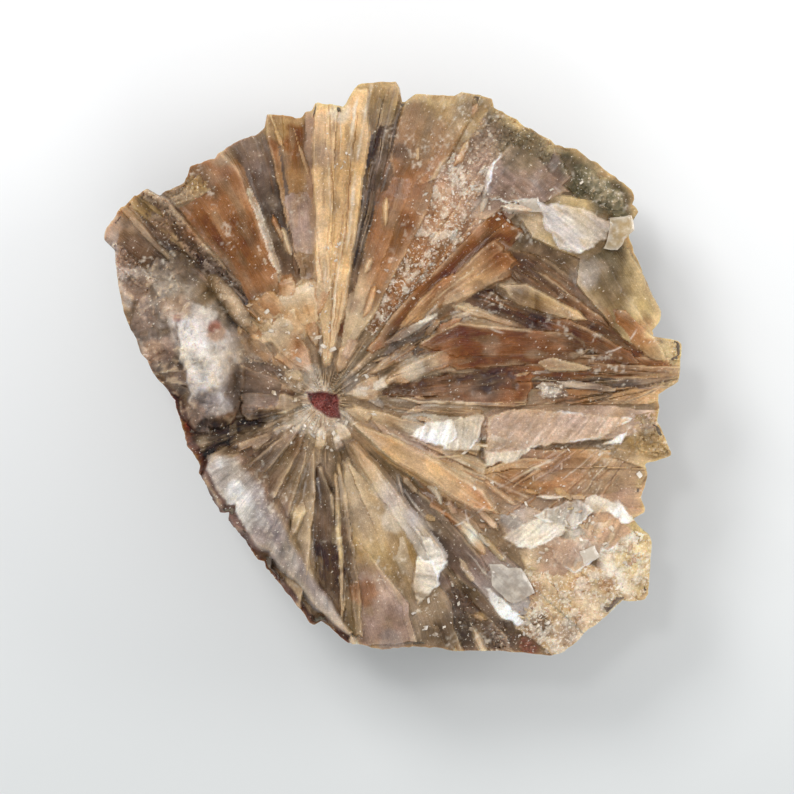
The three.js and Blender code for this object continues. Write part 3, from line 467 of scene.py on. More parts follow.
# Corners (x, y) of the pit at the common root of the blades.
PIT = [(-1.35, 0.55), (-0.3, 0.65), (0.85, 0.45), (1.1, -1.3), (0.1, -1.15), (-0.95, -0.4)]

# The white fibrous band along the crusted rim: bearing against radius of its middle, half its
# width, and its height above the mean face.
BAND_MIDDLE = [(0, 8), (200, 7.9), (207, 7.9), (231, 8.2), (250, 9.2), (262, 11.1), (272, 13.7),
    (276, 15.2)]
BAND_HALF = [(0, 0), (205, 0), (213, 1.3), (230, 1.5), (250, 1.2), (262, 0.95), (272, 0.8), (277, 0)]
BAND_LIFT = [(0, 0), (206, 0.2), (230, 0.5), (250, 0.55), (262, 0.4), (277, 0.2)]

# ------------------------------------------------------------------------------------------ noise


def lattice(i, j, k, seed):
    """A repeatable random number from 0 to 1 for each point of a whole-numbered grid."""
    n = (i * 374761393 + j * 668265263 + k * 1442695041 + seed * 1013904223) & 0xFFFFFFFF
    n = ((n ^ (n >> 13)) * 1274126177) & 0xFFFFFFFF
    n = ((n ^ (n >> 16)) * 1103515245) & 0xFFFFFFFF
    return (n ^ (n >> 15)) / 0xFFFFFFFF


def noise(x, y, z=0.0, seed=0):
    """Smooth noise from 0 to 1, with about one bump to a unit."""
    x, y, z = np.broadcast_arrays(x, y, z)
    i, j, k = (np.floor(a).astype(np.int64) for a in (x, y, z))
    u, v, w = smooth(x - i), smooth(y - j), smooth(z - k)
    total = np.zeros(x.shape)
    for di, du in ((0, 1 - u), (1, u)):
        for dj, dv in ((0, 1 - v), (1, v)):
            for dk, dw in ((0, 1 - w), (1, w)):
                total += du * dv * dw * lattice(i + di, j + dj, k + dk, seed)
    return total


def rough(x, y, z, seed, octaves=3):
    """Noise from about -1 to 1 with finer and fainter noise on it."""
    total, size, share = 0.0, 1.0, 1.0
    for octave in range(octaves):
        total = total + share * (2 * noise(x * size, y * size, z * size, seed + octave) - 1)
        size, share = size * 2.1, share * 0.5
    return total / 1.75


def spots(x, y, size, seed):
    """Noise from 0 to 1 over the face, with spots of one size."""
    return noise(x / size, y / size, seed=seed)


def lumps(x, y, size, seed, octaves=3):
    """Noise from about -1 to 1 over the face: lumps of one size with finer ones on them."""
    return rough(x / size, y / size, 0.5, seed, octaves)


def grains(x, y, seed):
    """Packed grains: the way from the nearest grain's middle, and that grain's own number."""
    i, j = np.floor(x).astype(np.int64), np.floor(y).astype(np.int64)
    nearest = np.full(x.shape, 9.0)
    far_x, far_y, number = np.zeros(x.shape), np.zeros(x.shape), np.zeros(x.shape)
    for di in (-1, 0, 1):
        for dj in (-1, 0, 1):
            dx = x - (i + di) - lattice(i + di, j + dj, 0, seed)
            dy = y - (j + dj) - lattice(i + di, j + dj, 1, seed)
            closer = dx * dx + dy * dy < nearest
            nearest = np.where(closer, dx * dx + dy * dy, nearest)
            far_x, far_y = np.where(closer, dx, far_x), np.where(closer, dy, far_y)
            number = np.where(closer, lattice(i + di, j + dj, 2, seed), number)
    return far_x, far_y, number


def grain_relief(x, y, size, height, seed):
    """Packed small crystals, each a facet with a tilt of its own."""
    far_x, far_y, number = grains(x / size, y / size, seed)
    turn = number * 97.0
    lean = far_x * np.cos(turn) + far_y * np.sin(turn)
    return height * (number - 0.6 + 1.3 * lean - 0.5 * np.hypot(far_x, far_y))


# --------------------------------------------------------------------------------- plane geometry


def turned(x, y, origin, heading):
    """Places along a heading (in radians) and to the left of it, counted from an origin."""
    x, y = x - origin[0], y - origin[1]
    cos, sin = math.cos(heading), math.sin(heading)
    return x * cos + y * sin, y * cos - x * sin


def near_line(x, y, line, values):
    """How far each point is from a broken line and to the left of it, and the line's values there."""
    nearest, left = np.full(x.shape, 99.0), np.zeros(x.shape)
    found = np.zeros(x.shape + values[0].shape)
    for a, b, before, after in zip(line, line[1:], values, values[1:]):
        length = np.hypot(*(b - a))
        along, off = turned(x, y, a, math.atan2(b[1] - a[1], b[0] - a[0]))
        share = np.clip(along / length, 0, 1)
        away = np.hypot(along - share * length, off)
        closer = away < nearest
        nearest = np.where(closer, away, nearest)
        left = np.where(closer, off, left)
        found = np.where(closer[..., None], mixed(before, after, share[..., None]), found)
    return nearest, left, found


def away_from(outline, x, y):
    """Distance of each point from a closed outline."""
    nearest = np.full(x.shape, 99.0)
    for a, b in zip(outline, np.roll(outline, -1, axis=0)):
        side = b - a
        share = np.clip(((x - a[0]) * side[0] + (y - a[1]) * side[1]) / (side @ side), 0, 1)
        nearest = np.minimum(nearest, np.hypot(x - a[0] - share * side[0], y - a[1] - share * side[1]))
    return nearest


def depth_inside(outline, x, y):
    """How far each point lies inside a closed outline, below 0 outside it."""
    inside = np.zeros(x.shape, dtype=bool)
    for a, b in zip(outline, np.roll(outline, -1, axis=0)):
        if a[1] != b[1]:
            crossing = a[0] + (y - a[1]) / (b[1] - a[1]) * (b[0] - a[0])
            inside ^= ((a[1] > y) != (b[1] > y)) & (x < crossing)
    return np.where(inside, 1, -1) * away_from(outline, x, y)


# ----------------------------------------------------------------------------------- mesh helpers


def paint(mesh, attributes):
    """Stores colours and vectors, each given for every vertex, at the corners of the faces."""
    of_corner = np.empty(len(mesh.loops), dtype=np.int32)
    mesh.loops.foreach_get("vertex_index", of_corner)
    for key, values in attributes.items():
        values = values[of_corner].astype(np.float32)
        if key == "grain":
            mesh.attributes.new(key, "FLOAT_VECTOR", "CORNER").data.foreach_set("vector", values.ravel())
        else:
            full = np.insert(values, 3, 1, axis=1)
            mesh.attributes.new(key, "FLOAT_COLOR", "CORNER").data.foreach_set("color", full.ravel())


def mesh_from(name, parts):
    """One mesh in millimetres from parts, each points, faces, and attribute values per point."""
    mesh = bpy.data.meshes.new(name)
    starts = np.cumsum([0] + [len(points) for points, _, _ in parts])
    faces = []
    for start, (_, loops, _) in zip(starts, parts):
        faces += [[start + corner for corner in loop] for loop in loops]
    mesh.from_pydata(np.concatenate([points for points, _, _ in parts]).tolist(), [], faces)
    paint(mesh, {key: np.concatenate([part[2][key] for part in parts]) for key in parts[0][2]})
    return mesh


def scale_matrix(factor):
    return Matrix.Scale(factor, 4)


def place(name, mesh, material, sharp):
    """Makes a finished piece of a mesh in millimetres, with creases above an angle in degrees."""
    mesh.transform(scale_matrix(MM))
    mesh.name = name
    mesh.materials.clear()
    mesh.materials.append(material)
    mesh.polygons.foreach_set("use_smooth", np.ones(len(mesh.polygons), dtype=bool))
    mesh.set_sharp_from_angle(angle=math.radians(sharp))
    piece = bpy.data.objects.new(name, mesh)
    bpy.context.scene.collection.objects.link(piece)
    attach(piece, "root")
    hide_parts(NODE)


# ------------------------------------------------------------------------------ outline of the CAD

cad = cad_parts[NODE]
cad_tree = BVHTree.FromObject(cad, bpy.context.evaluated_depsgraph_get())
BEARINGS = np.arange(0, 360, 0.5)
RIM_HEIGHTS = np.arange(3.5, 11.6, 1.0)  # heights at which the CAD solid is measured
WELL_OUTSIDE = 40  # radius from which the rays start


def reach_at(bearing):
    """How far the CAD solid reaches from the axis at a bearing."""
    outward = Vector((math.cos(math.radians(bearing)), math.sin(math.radians(bearing)), 0))
    best = 0.0
    for z in RIM_HEIGHTS:
        start = outward * WELL_OUTSIDE * MM + Vector((0, 0, z * MM))
        hit = cad_tree.ray_cast(start, -outward)[0]
        if hit is not None:
            best = max(best, hit.xy.length / MM)
    return best


outline = np.array([reach_at(bearing) for bearing in BEARINGS])


def bearing_of(x, y):
    """The angle of a place from +X, from 0 to 360 degrees."""
    return np.degrees(np.arctan2(y, x)) % 360


def rim_radius(bearing):
    """Radius of the outline at a bearing, a little ragged."""
    radius = np.interp(bearing, BEARINGS, outline, period=360)
    return radius - 0.14 * noise(bearing / 2.1, 0.5, seed=3) - 0.08 * noise(bearing / 0.8, 0.5, seed=4)


# --------------------------------------------------------------------------- shape of one blade

CROWN = 0.035  # rise of the low gable along a blade, per width
STRAIGHT_OUT = 0.9  # cosine of the most that a blade which shows in the wall may turn
WALL_REACH = 2.5  # and it ends this near to the rim
STATIONS = (0, 0.22, 0.88, 1)  # shares of a blade's length at which its section is set
NARROWING = (0.3, 0.92, 1, 0.8)
POINTED = (0.1, 0.9, 0.6, 0.05)  # of flakes, pointed at both ends
DROPS = (0.35, 0.02, 0, 0.12)


class Blade:
    """The shape of one blade, worked out from its row.

    s is a place along it and off a place to the left of its middle line, in millimetres. u and t
    are the same as shares of its length and of half its width there.
    """

    def __init__(self, row, seed):
        start, end, self.w0, self.w1, lift0, lift1, roll, self.finish, tones = row
        self.tones = np.array([linear(tone) for tone in tones.split()])
        self.look = FINISHES[self.finish]
        self.seed = seed
        self.a, self.b = polar(*start), polar(*end)
        step = self.b - self.a
        self.length = np.hypot(*step)
        self.heading = math.atan2(step[1], step[0])
        self.top0 = level(*self.a) + lift0
        self.top1 = level(*self.b) + lift1
        self.tilt = math.tan(math.radians(roll))
        # each edge gets its own strength of painted highlight
        self.lit = np.random.default_rng(seed + 3000).uniform(0, 1.3, 2)  # how bright either edge is
        outward = step @ self.b / self.length / np.hypot(*self.b) > STRAIGHT_OUT
        self.in_wall = outward and end[1] > rim_radius(end[0]) - WALL_REACH

    def places(self, x, y):
        return turned(x, y, self.a, self.heading)

    def half(self, u):
        """Half the blade's width at a share u of its length."""
        shape = POINTED if self.finish == "flake" else NARROWING
        return mixed(self.w0, self.w1, u) * np.interp(u, STATIONS, shape) * GROWN_TOGETHER / 2

    def surface(self, x, y):
        """Heights, split sheets and fibre places of the blade's top at points of the face."""
        look, seed = self.look, self.seed
        dice = np.random.default_rng(seed)
        s, off = self.places(x, y)
        u = np.clip(s / self.length, 0, 1)
        half = self.half(u)
        widest = max(self.w0, self.w1)
        off_in = np.clip(off, -half, half)
        t = off_in / half
        fibre = t * widest / 2

        # the middle line, the roll and a low gable
        ridge = dice.uniform(-0.5, 0.5)
        gable = np.where(t > ridge, (1 - t) / (1 - ridge), (1 + t) / (1 + ridge))
        z = mixed(self.top0, self.top1, u) - np.interp(u, STATIONS, DROPS) * min(1, self.w1)
        z = z + off_in * self.tilt + 2 * half * CROWN * gable

        # sheets side by side, each at its own height and broken off at its own length
        count = look["sheets"]
        breaks = np.sort(dice.uniform(-0.9, 0.9, count - 1))
        wander = 0.16 * (noise(s / 1.8, 0.5, seed=seed) - 0.5)
        sheet = np.searchsorted(breaks, t + wander)
        size = look["step"] * min(1.4, 0.35 + widest / 3)
        z += size * dice.uniform(-1, 0.5, count)[sheet]
        z += off_in * dice.uniform(-0.07, 0.07, count)[sheet]
        z += (u - 0.5) * self.length * dice.uniform(-0.025, 0.025, count)[sheet]
        ragged = 3.5 * (noise(fibre / 0.45, s / 9, seed=seed + 1) - 0.5) / self.length
        ragged = ragged + dice.uniform(-0.7, 0.7) * t
        for _ in range(look["breaks"]):
            ends = dice.uniform(0.25, 1.5, count)
            broken = u > ends[sheet % count] + ragged
            z -= size * dice.uniform(0.4, 1.2) * broken
            sheet = sheet + count * broken

        # ribs along, and grains
        ribs = 1 - np.abs(2 * noise(fibre / look["pitch"], s / 7, seed=seed + 2) - 1)
        fine = noise(fibre / look["pitch"] * 3, s / 3, seed=seed + 3)
        z += look["rib"] * (ribs - 0.6) + 0.4 * look["rib"] * (fine - 0.5)
        if look["grain"]:
            z += grain_relief(x, y, look["size"], look["grain"], seed)

        # steep flanks, a sloping root and a broken outer end
        steep = dice.uniform(2.5, 7)
        z -= steep * np.maximum(np.abs(off) - half, 0)
        z -= 1.8 * np.maximum(-s, 0)
        jag = 0.8 * min(1, self.w1 / 2.5) * (noise(fibre / 0.9, 0.5, seed=seed + 5) - 0.5)
        jag = jag + 0.25 * (noise(fibre / 0.25, 0.5, seed=seed + 6) - 0.5)
        jag = jag + t * half * dice.uniform(-0.3, 0.3) + (1.2 if self.in_wall else 0)
        z -= 2.4 * np.maximum(s - self.length - jag, 0)
        return z, sheet, s, off

    def tint(self, sheet, s, off):
        """Colours of the blade's top, from its start to its end, with a painted highlight along its edges.
        """
        stops = np.linspace(0.15, 0.85, len(self.tones))
        u = s / self.length + 0.3 * (noise(off / 0.7, s / 2.5, seed=self.seed + 10) - 0.5)
        tint = np.stack([np.interp(u, stops, self.tones[:, c]) for c in range(3)], axis=-1)
        shade = 0.92 + 0.16 * lattice(sheet, 3, 5, self.seed)
        streaks = noise(off / 0.16, s / 3.5, seed=self.seed + 9) - 0.5
        tint *= (shade * (1 + 0.5 * self.look["streak"] * streaks))[..., None]
        # painted highlight: a cream line along the edges, where they would catch the light
        inset = self.half(np.clip(s / self.length, 0, 1)) - np.abs(off)
        lit = ramp(noise(s / 1.3, off, seed=self.seed + 13), 0.35, 0.65) * np.where(off > 0, *self.lit)
        glow = 0.55 * min(1, 0.2 + 0.4 * self.w1) * ramp(inset, 0.22, 0.06) * lit
        return mixed(tint, np.maximum(tint, linear("cream")), glow[..., None])


def scattered(bearings, radii, lengths, widths, dice, focus=None):
    """A random thin row: a start, an end away from the centre or towards a focus, and widths."""
    bearing, radius = dice.uniform(*bearings), dice.uniform(*radii)
    length, width = dice.uniform(*lengths), dice.uniform(*widths)
    here = polar(bearing, radius)
    aim = np.array(focus) - here if focus == TIP else here
    spread = 14 if focus is None else 2.5
    turn = math.atan2(aim[1], aim[0]) + math.radians(dice.normal(0, spread))
    there = here + length * np.array([math.cos(turn), math.sin(turn)])
    end = (bearing_of(*there), np.hypot(*there))
    return [(bearing, radius), end, width * 0.7, width]


def heap_rows():
    """The rows of the heaped short crystals, drawn with a fixed seed."""
    dice = np.random.default_rng(7)
    for bearings, radii, count, lengths, widths, lifts, finish, tones in HEAPS:
        for _ in range(count):
            row = scattered(bearings, radii, lengths, widths, dice)
            lift, roll = dice.uniform(*lifts), dice.uniform(-20, 20)
            yield row + [lift, lift, roll, finish, dice.choice(tones.split())]


def rib_rows():
    """The rows of the thin ribs and grooves, and the height of each."""
    dice = np.random.default_rng(8)
    for bearings, radii, count, lengths, widths, height, focus, tones in RIBS:
        for _ in range(count):
            row = scattered(bearings, radii, lengths, widths, dice, focus)
            yield row + [0, 0, 0, "fibre", dice.choice(tones.split())], height * dice.uniform(0.4, 1.3)


# -------------------------------------------------------------------------------- crystal face

GRID = 0.075  # distance between the points of the relief
VEIL = np.array([0.024, 0.027, 0.031])  # what the polished surface adds to every colour
FROSTED = 0.2  # amount of frosting from which scratches don't show
STREAKED = 0.14  # strength of streaks below which a crystal counts as smooth
CRUST_NUMBER, BAND_NUMBER = 9.0, 21.0  # stand for the number of a crystal
WARMTH = np.array([0.05, 0.02, -0.12])  # how clouds of warm colour change red, green and blue
FULL_CIRCLE = 2 * math.pi


def deeper(tint, depth):
    """The colour of clear crystal seen through more of it (depth above 1) or less."""
    tint = np.clip(tint, 0, 1)
    light = np.clip(tint.mean(axis=-1, keepdims=True), 0.002, 1)
    more = depth[..., None] - 1
    return tint * light ** more * (np.clip(tint, 0.001, 1) / light) ** (0.45 * more)


def blurred(values, reach):
    """Mean of a square around each point of the relief, taken twice for a softer window."""
    cells = round(reach / GRID)
    for _ in range(2):
        for axis in (0, 1):
            padded = np.pad(values, [(cells + 1, cells) if a == axis else (0, 0) for a in (0, 1)], "edge")
            sums = np.cumsum(padded, axis=axis)
            ahead = np.take(sums, range(2 * cells + 1, sums.shape[axis]), axis=axis)
            behind = np.take(sums, range(0, sums.shape[axis] - 2 * cells - 1), axis=axis)
            values = (ahead - behind) / (2 * cells + 1)
    return values


class Face:
    """The whole crystal face as heights, tints and finishes on a fine grid.

    The grain of a point is its place along and across its crystal and the crystal's number. Its
    finish is how rough, how frosted and how streaked it is. A view is a part of the grid.
    """

    def __init__(self):
        low, high = (np.array(corner) / MM for corner in cad_box)
        xs = np.arange(low[0] - 1, high[0] + 1, GRID)
        ys = np.arange(low[1] - 1, high[1] + 1, GRID)
        self.low = np.array([xs[0], ys[0]])
        self.x, self.y = x, y = np.meshgrid(xs, ys, indexing="ij")
        self.bearing = bearing_of(x, y)
        self.radius = np.hypot(x, y)
        # blades are looked up at slightly bent places, so that no edge is ruler straight
        self.bent_x = x + 0.16 * lumps(x, y, 2.2, 71) + 0.07 * lumps(x, y, 0.45, 73, 2)
        self.bent_y = y + 0.16 * lumps(x, y, 2.2, 81) + 0.07 * lumps(x, y, 0.45, 83, 2)
        fibres = noise(self.bearing / 1.6, self.radius / 4, seed=5)
        self.z = level(x, y) - 0.5 + 0.3 * (fibres - 0.5) + 0.15 * lumps(x, y, 0.8, 15)
        self.tint = linear("khaki") * (0.6 + 0.8 * fibres)[..., None]
        self.grain = np.stack([self.radius, self.bearing / 6, np.zeros(x.shape)], axis=-1)
        self.finish = np.tile([0.6, 0.3, 0.7], x.shape + (1,))

    def window(self, points, margin):
        """The view around some points."""
        low = np.floor((np.min(points, axis=0) - margin - self.low) / GRID).astype(int)
        high = np.ceil((np.max(points, axis=0) + margin - self.low) / GRID).astype(int)
        low, high = np.maximum(low, 0), np.minimum(high, self.x.shape)
        return slice(low[0], high[0]), slice(low[1], high[1])

    def blend(self, share, colour, view=...):
        """Tints a view with a share of a colour, or of a colour for each point."""
        self.tint[view] += (colour - self.tint[view]) * np.asarray(share)[..., None]

    def raise_to(self, z, tint, grain, finish, view=...):
        """Lays a surface over a view of the face where it is the higher of the two."""
        higher = z > self.z[view]
        self.z[view][higher] = z[higher]
        self.tint[view][higher] = tint[higher]
        self.grain[view][higher] = np.stack(np.broadcast_arrays(*grain), axis=-1)[higher]
        self.finish[view][higher] = finish

    def lay(self, blade, sink=0.0, cover=1.0):
        """Adds a blade; its colour covers a share of the colour of what it grew over."""
        view = self.window([blade.a, blade.b], max(blade.w0, blade.w1) * 0.8 + 1.4)
        z, sheet, s, off = blade.surface(self.bent_x[view], self.bent_y[view])
        worn = ramp(noise(s / 1.5, off / 0.5, seed=blade.seed + 14), 0.2, 0.5)
        cover = (cover * (0.55 + 0.45 * worn))[..., None]
        tint = mixed(self.tint[view], blade.tint(sheet, s, off), cover)
        number = (blade.seed % 97) * 3.7 + 0.6 * sheet
        finish = [blade.look[key] for key in ("rough", "frost", "streak")]
        self.raise_to(z - sink, tint, (s, off, number), finish, view)

    def score(self, rib, height):
        """Adds a thin rib that follows the face, or cuts a thin groove."""
        view = self.window([rib.a, rib.b], 0.6)
        s, off = rib.places(self.bent_x[view], self.bent_y[view])
        u = s / rib.length
        inside = smooth(8 * u) * smooth(8 * (1 - u))
        profile = inside * np.clip(1 - 2 * np.abs(off) / mixed(rib.w0, rib.w1, u), 0, 1) ** 0.6
        profile *= np.where(self.finish[view][..., 2] < STREAKED, 0.25, 1)
        self.z[view] += height * profile
        self.blend(0.7 * profile * (0.3 + noise(s / 0.9, off / 0.2, seed=rib.seed)), rib.tones[0], view)

    def fill_clefts(self):
        """Fills the deepest gaps between blades with fine matrix."""
        matrix = blurred(self.z, 0.45) - 0.1 + 0.04 * lumps(self.x, self.y, 0.3, 77, 2)
        self.z = np.maximum(self.z, matrix)

    def lay_facet(self, tone, lift, corners, seed):
        """Adds a bright cleavage facet, ragged at the edge and pleated outwards, with painted light that
        fades across it and a painted highlight along its edge.
        """
        outline = np.array(corners)
        middle = outline.mean(axis=0)
        view = self.window(outline, 0.6)
        x, y = self.bent_x[view], self.bent_y[view]
        inset = depth_inside(outline, x, y) + 0.22 * lumps(x, y, 0.6, seed + 2)
        heading = math.atan2(middle[1], middle[0]) + np.random.default_rng(seed).uniform(0.9, 1.9)
        along, off = turned(x, y, CENTRE, heading)
        pleats = 1 - np.abs(rough(off / 0.7, along / 1.6, 0.5, seed))
        flat = blurred(self.z[view], 0.6) + lift + 0.22 * (pleats - 0.5)
        share = smooth(inset / 0.14)
        self.z[view] += (flat - self.z[view]) * share
        grey = ramp(rough(off / 0.35, along / 1.8, 0.5, seed + 1, 4), 0.05, 0.35)
        # painted light: the facet's colour fades out across it, away from its lit side
        light_falloff = smooth(0.9 + turned(x, y, middle, -heading)[0])
        share = share * (1 - 0.5 * grey) * (0.45 + 0.55 * light_falloff)
        striped = 0.72 + 0.5 * noise(off / 0.13, along / 2.5, seed=seed + 3)
        self.blend(share, linear(tone) * striped[..., None], view)
        # painted highlight: a white line along parts of the edge, fading with the light
        broken = ramp(spots(x, y, 1.1, seed + 4), 0.4, 0.55)
        border = ramp(inset, 0.2, 0.1) * smooth(inset / 0.06) * light_falloff * broken
        self.blend(0.85 * border, linear("white"), view)
        self.finish[view] += ([0.16, 0.3, 0.1] - self.finish[view]) * share[..., None]

    def lay_crest(self):
        """Adds the high ragged crest of crust at the left, striped down and white along its top, with
        painted shade on the low end of its inner side.
        """
        x, y = self.x, self.y
        line = np.array([polar(*row[0]) for row in CREST])
        bent_x = x + 0.5 * lumps(x, y, 1.6, 311, 4)
        bent_y = y + 0.5 * lumps(x, y, 1.6, 321, 4)
        nearest, left, found = near_line(bent_x, bent_y, line, np.array([row[1:] for row in CREST]))
        high, inwards, outwards = np.moveaxis(found, -1, 0)
        share = nearest / np.where(left > 0, inwards, outwards)
        crags = 1 - 2 * np.abs(lumps(x, y, 1.5, 331, 4))
        z = level(x, y) + high * (1 - share ** 1.35) + np.minimum(0, 1.1 - share) * 4
        z += 0.3 * (crags - 0.5) + 0.16 * lumps(x, y, 0.7, 337, 4) + grain_relief(x, y, 0.35, 0.06, 339)
        down, across = (y - 0.5 * x) / 1.9, (x + 0.5 * y) / 0.6
        blotch = ramp(rough(across, down, 0.5, 361, 4), -0.6, 0.6)[..., None]
        outer = mixed(linear("slate"), linear("dove"), blotch)
        inner = mixed(linear("khaki"), linear("dove"), blotch)
        # painted shade: past 155 to 164 degrees the inner side turns char and umber, the side turned away
        # from the light
        low = mixed(linear("char"), linear("umber"), blotch)
        inner = mixed(inner, low, ramp(self.bearing, 155, 164)[..., None])
        tint = mixed(outer, inner, smooth(0.5 + 0.5 * left)[..., None])
        white = ramp(nearest - rough(across * 0.6, down, 0.5, 371, 4), 1.6, 0.8)
        white *= ramp(self.bearing, 146, 151) * ramp(self.bearing, 190, 182)
        tint = mixed(tint, linear("chalk") * (0.75 + 0.35 * blotch), white[..., None])
        self.raise_to(z, tint, (x, y, CRUST_NUMBER), [0.6, 0.2, 0.15])

    def lay_boss(self, spot, heading, half_along, half_across, half_height, lift, tone):
        """Adds a rounded lump of crust with a grainy skin."""
        centre = polar(*spot)
        view = self.window([centre], max(half_along, half_across) + 1)
        x, y = self.x[view], self.y[view]
        s, off = turned(x, y, centre, math.radians(heading))
        far = np.hypot(s / half_along, off / half_across) + 0.32 * lumps(x, y, 1.4, 131)
        dome = np.sqrt(np.clip(1 - far * far, 0, 1)) + np.minimum(0, 1 - far) * 3
        z = level(*centre) + lift + half_height * dome
        z += 0.26 * lumps(x, y, 0.9, 141) + grain_relief(x, y, 0.4, 0.08, 151)
        tint = linear(tone) * (0.55 + 0.9 * noise(x / 0.9, y / 0.9, 0.5, seed=161)[..., None])
        self.raise_to(z, tint, (x, y, CRUST_NUMBER), [0.7, 0.55, 0.2], view)

    def lay_satin_band(self):
        """Adds the white fibrous band along the crusted rim, its fibres across the edge."""
        rows = (BAND_MIDDLE, BAND_HALF, BAND_LIFT)
        middle, half, lift = (np.interp(self.bearing, *zip(*row)) for row in rows)
        half = half * (0.85 + 0.3 * noise(self.bearing / 5, 0.5, seed=6))
        off = self.radius - middle
        s = self.bearing / 6
        t = np.clip(off / np.maximum(half, 0.01), -1, 1)
        slant = s + 0.2 * off + 0.4 * rough(s / 2.2, off / 1.2, 0.5, 175, 2)
        fibres = 0.6 * noise(slant / 0.2, off / 1.6, seed=171)
        fibres += 0.4 * noise(slant / 0.5, off / 2.5, seed=173)
        z = level(self.x, self.y) + lift + 0.2 * (1 - t * t) + 0.05 * (fibres - 0.5)
        z += 0.2 * rough(s / 1.6, off / 1.4, 0.5, 181)
        z -= np.where(off < 0, 0.9, 2.2) * np.maximum(np.abs(off) - half, 0) + 40 * (half < 0.05)
        patch = ramp(noise(s / 1.1, off / 0.8, seed=191), 0.3, 0.7)[..., None]
        worn = ramp(self.bearing, 218, 248)[..., None]
        pale = mixed(0.85 * linear("white"), linear("dove"), worn)
        dull = mixed(linear("dove"), linear("lilac"), worn)
        tint = mixed(dull, pale, patch) * (0.58 + 0.64 * fibres)[..., None]
        fade = smooth((off + half) / 0.5 + 0.4 * (fibres - 0.5))[..., None]
        self.raise_to(z, mixed(self.tint, tint, fade), (off, s, BAND_NUMBER), [0.45, 0.35, 1.0])

    def patch(self, tone, strength, soft, lift, corners, seed):
        """Tints a patch with an outline of its own, and lifts or sinks it."""
        outline = np.array(corners)
        view = self.window(outline, 1.5)
        x, y = self.x[view], self.y[view]
        inset = depth_inside(outline, x, y) + 0.7 * lumps(x, y, 1.1, seed, 4)
        share = smooth(0.5 + inset / soft)
        self.z[view] += lift * share
        worn = np.minimum(0.55 + 0.9 * spots(x, y, 0.8, seed + 1), 1.05)[..., None]
        share *= 1 - 0.5 * ramp(noise(x / 0.5, y / 0.9, seed=seed + 2), 0.55, 0.75)
        self.blend(strength * share, linear(tone) * worn, view)

    def stain(self, spot, reach, tone, strength):
        """Tints a ragged round patch."""
        centre = polar(*spot)
        view = self.window([centre], reach * 1.5)
        x, y = self.x[view], self.y[view]
        away = np.hypot(x - centre[0], y - centre[1]) + 0.4 * reach * lumps(x, y, 0.8, 61)
        self.blend(strength * ramp(away, reach, reach / 2), linear(tone), view)

    def scratch(self, dice):
        """Draws one pale hair-thin arc on the smooth facets."""
        centre = polar(dice.uniform(0, 360), 21 * math.sqrt(dice.uniform(0.02, 1)))
        bend, start = dice.uniform(1.2, 5), dice.uniform(0, 6.3)
        middle = centre - bend * np.array([math.cos(start), math.sin(start)])
        view = self.window([centre], 2)
        x, y = self.x[view] - middle[0], self.y[view] - middle[1]
        away = np.abs(np.hypot(x, y) - bend)
        along = np.abs((np.arctan2(y, x) - start + math.pi) % FULL_CIRCLE - math.pi) * bend
        share = np.clip(1.2 - away / 0.07, 0, 1) * smooth((dice.uniform(0.5, 1.7) - along) / 0.5)
        share *= dice.uniform(0.3, 0.7) * (self.finish[view][..., 1] < FROSTED)
        self.blend(share, linear("frost"), view)

    def cloud(self):
        """Deepens and thins the colour in soft clouds, as in crystal that is clear in places."""
        x, y = self.x, self.y
        along, across, number = np.moveaxis(self.grain, -1, 0)
        depth = 1 + 0.4 * lumps(x, y, 1.9, 271) + 0.3 * rough(along / 1.3, across / 0.75, number, 281)
        self.tint = deeper(self.tint, depth + 0.14 * lumps(x, y, 0.3, 288, 2))
        self.tint *= 1 + lumps(x, y, 1.5, 285, 2)[..., None] * WARMTH

    def edge_skin(self):
        """Tints and wears down the thin dark skin along the crusted rim."""
        inward = rim_radius(self.bearing) - self.radius
        reach = 0.75 + 0.35 * (noise(self.bearing / 4, 0.5, seed=231) - 0.5)
        share = smooth((reach - inward) / 0.25)
        share *= ramp(self.bearing, 160, 180) * ramp(self.bearing, 278, 275)
        self.blend(share, linear("skin") * (0.7 + 0.6 * spots(self.x, self.y, 0.5, 235))[..., None])
        self.z -= 0.15 * share

    def edge_glow(self):
        """Brightens the thin broken rim on the clear side, where light comes through."""
        inward = rim_radius(self.bearing) - self.radius
        reach = 0.35 + 0.8 * noise(self.bearing / 3, 0.5, seed=237)
        share = smooth((reach - inward) / 0.6) * (spots(self.x, self.y, 0.6, 239) + 0.2)
        past_start = (self.bearing + 40) % 360
        self.blend(0.75 * share * ramp(past_start, 150, 130) * ramp(past_start, 0, 10), linear("glow"))

    def shade_hollows(self):
        """Darkens what lies low and brightens what stands proud, as light held in crystal does: painted
        shade and light. Dusts sharp hollows with sand and paints a cream highlight along sharp ridges.
        """
        proud = self.z - blurred(self.z, 0.6)
        sharp = self.z - blurred(self.z, 0.25)
        # painted shade in the hollows and painted light on what stands proud
        self.tint = deeper(self.tint, np.clip(1 - 0.55 * proud, 0.7, 1.45))
        self.tint *= np.clip(1 + 0.2 * proud, 0.75, 1.12)[..., None]
        dusty = ramp(spots(self.x, self.y, 1.3, 223), 0.45, 0.7)
        self.blend(0.4 * np.clip(-6 * sharp, 0, 1) * dusty, linear("sand"))
        # painted highlight: cream along sharp ridges
        patchy = ramp(spots(self.x, self.y, 1.5, 221), 0.35, 0.75)
        self.blend(0.5 * np.clip(7 * sharp, 0, 1) * patchy, linear("cream"))

    def deepen(self):
        """Takes out of the colour the pale veil that the polished surface adds back."""
        self.tint = np.maximum(self.tint - VEIL, 0.25 * self.tint)

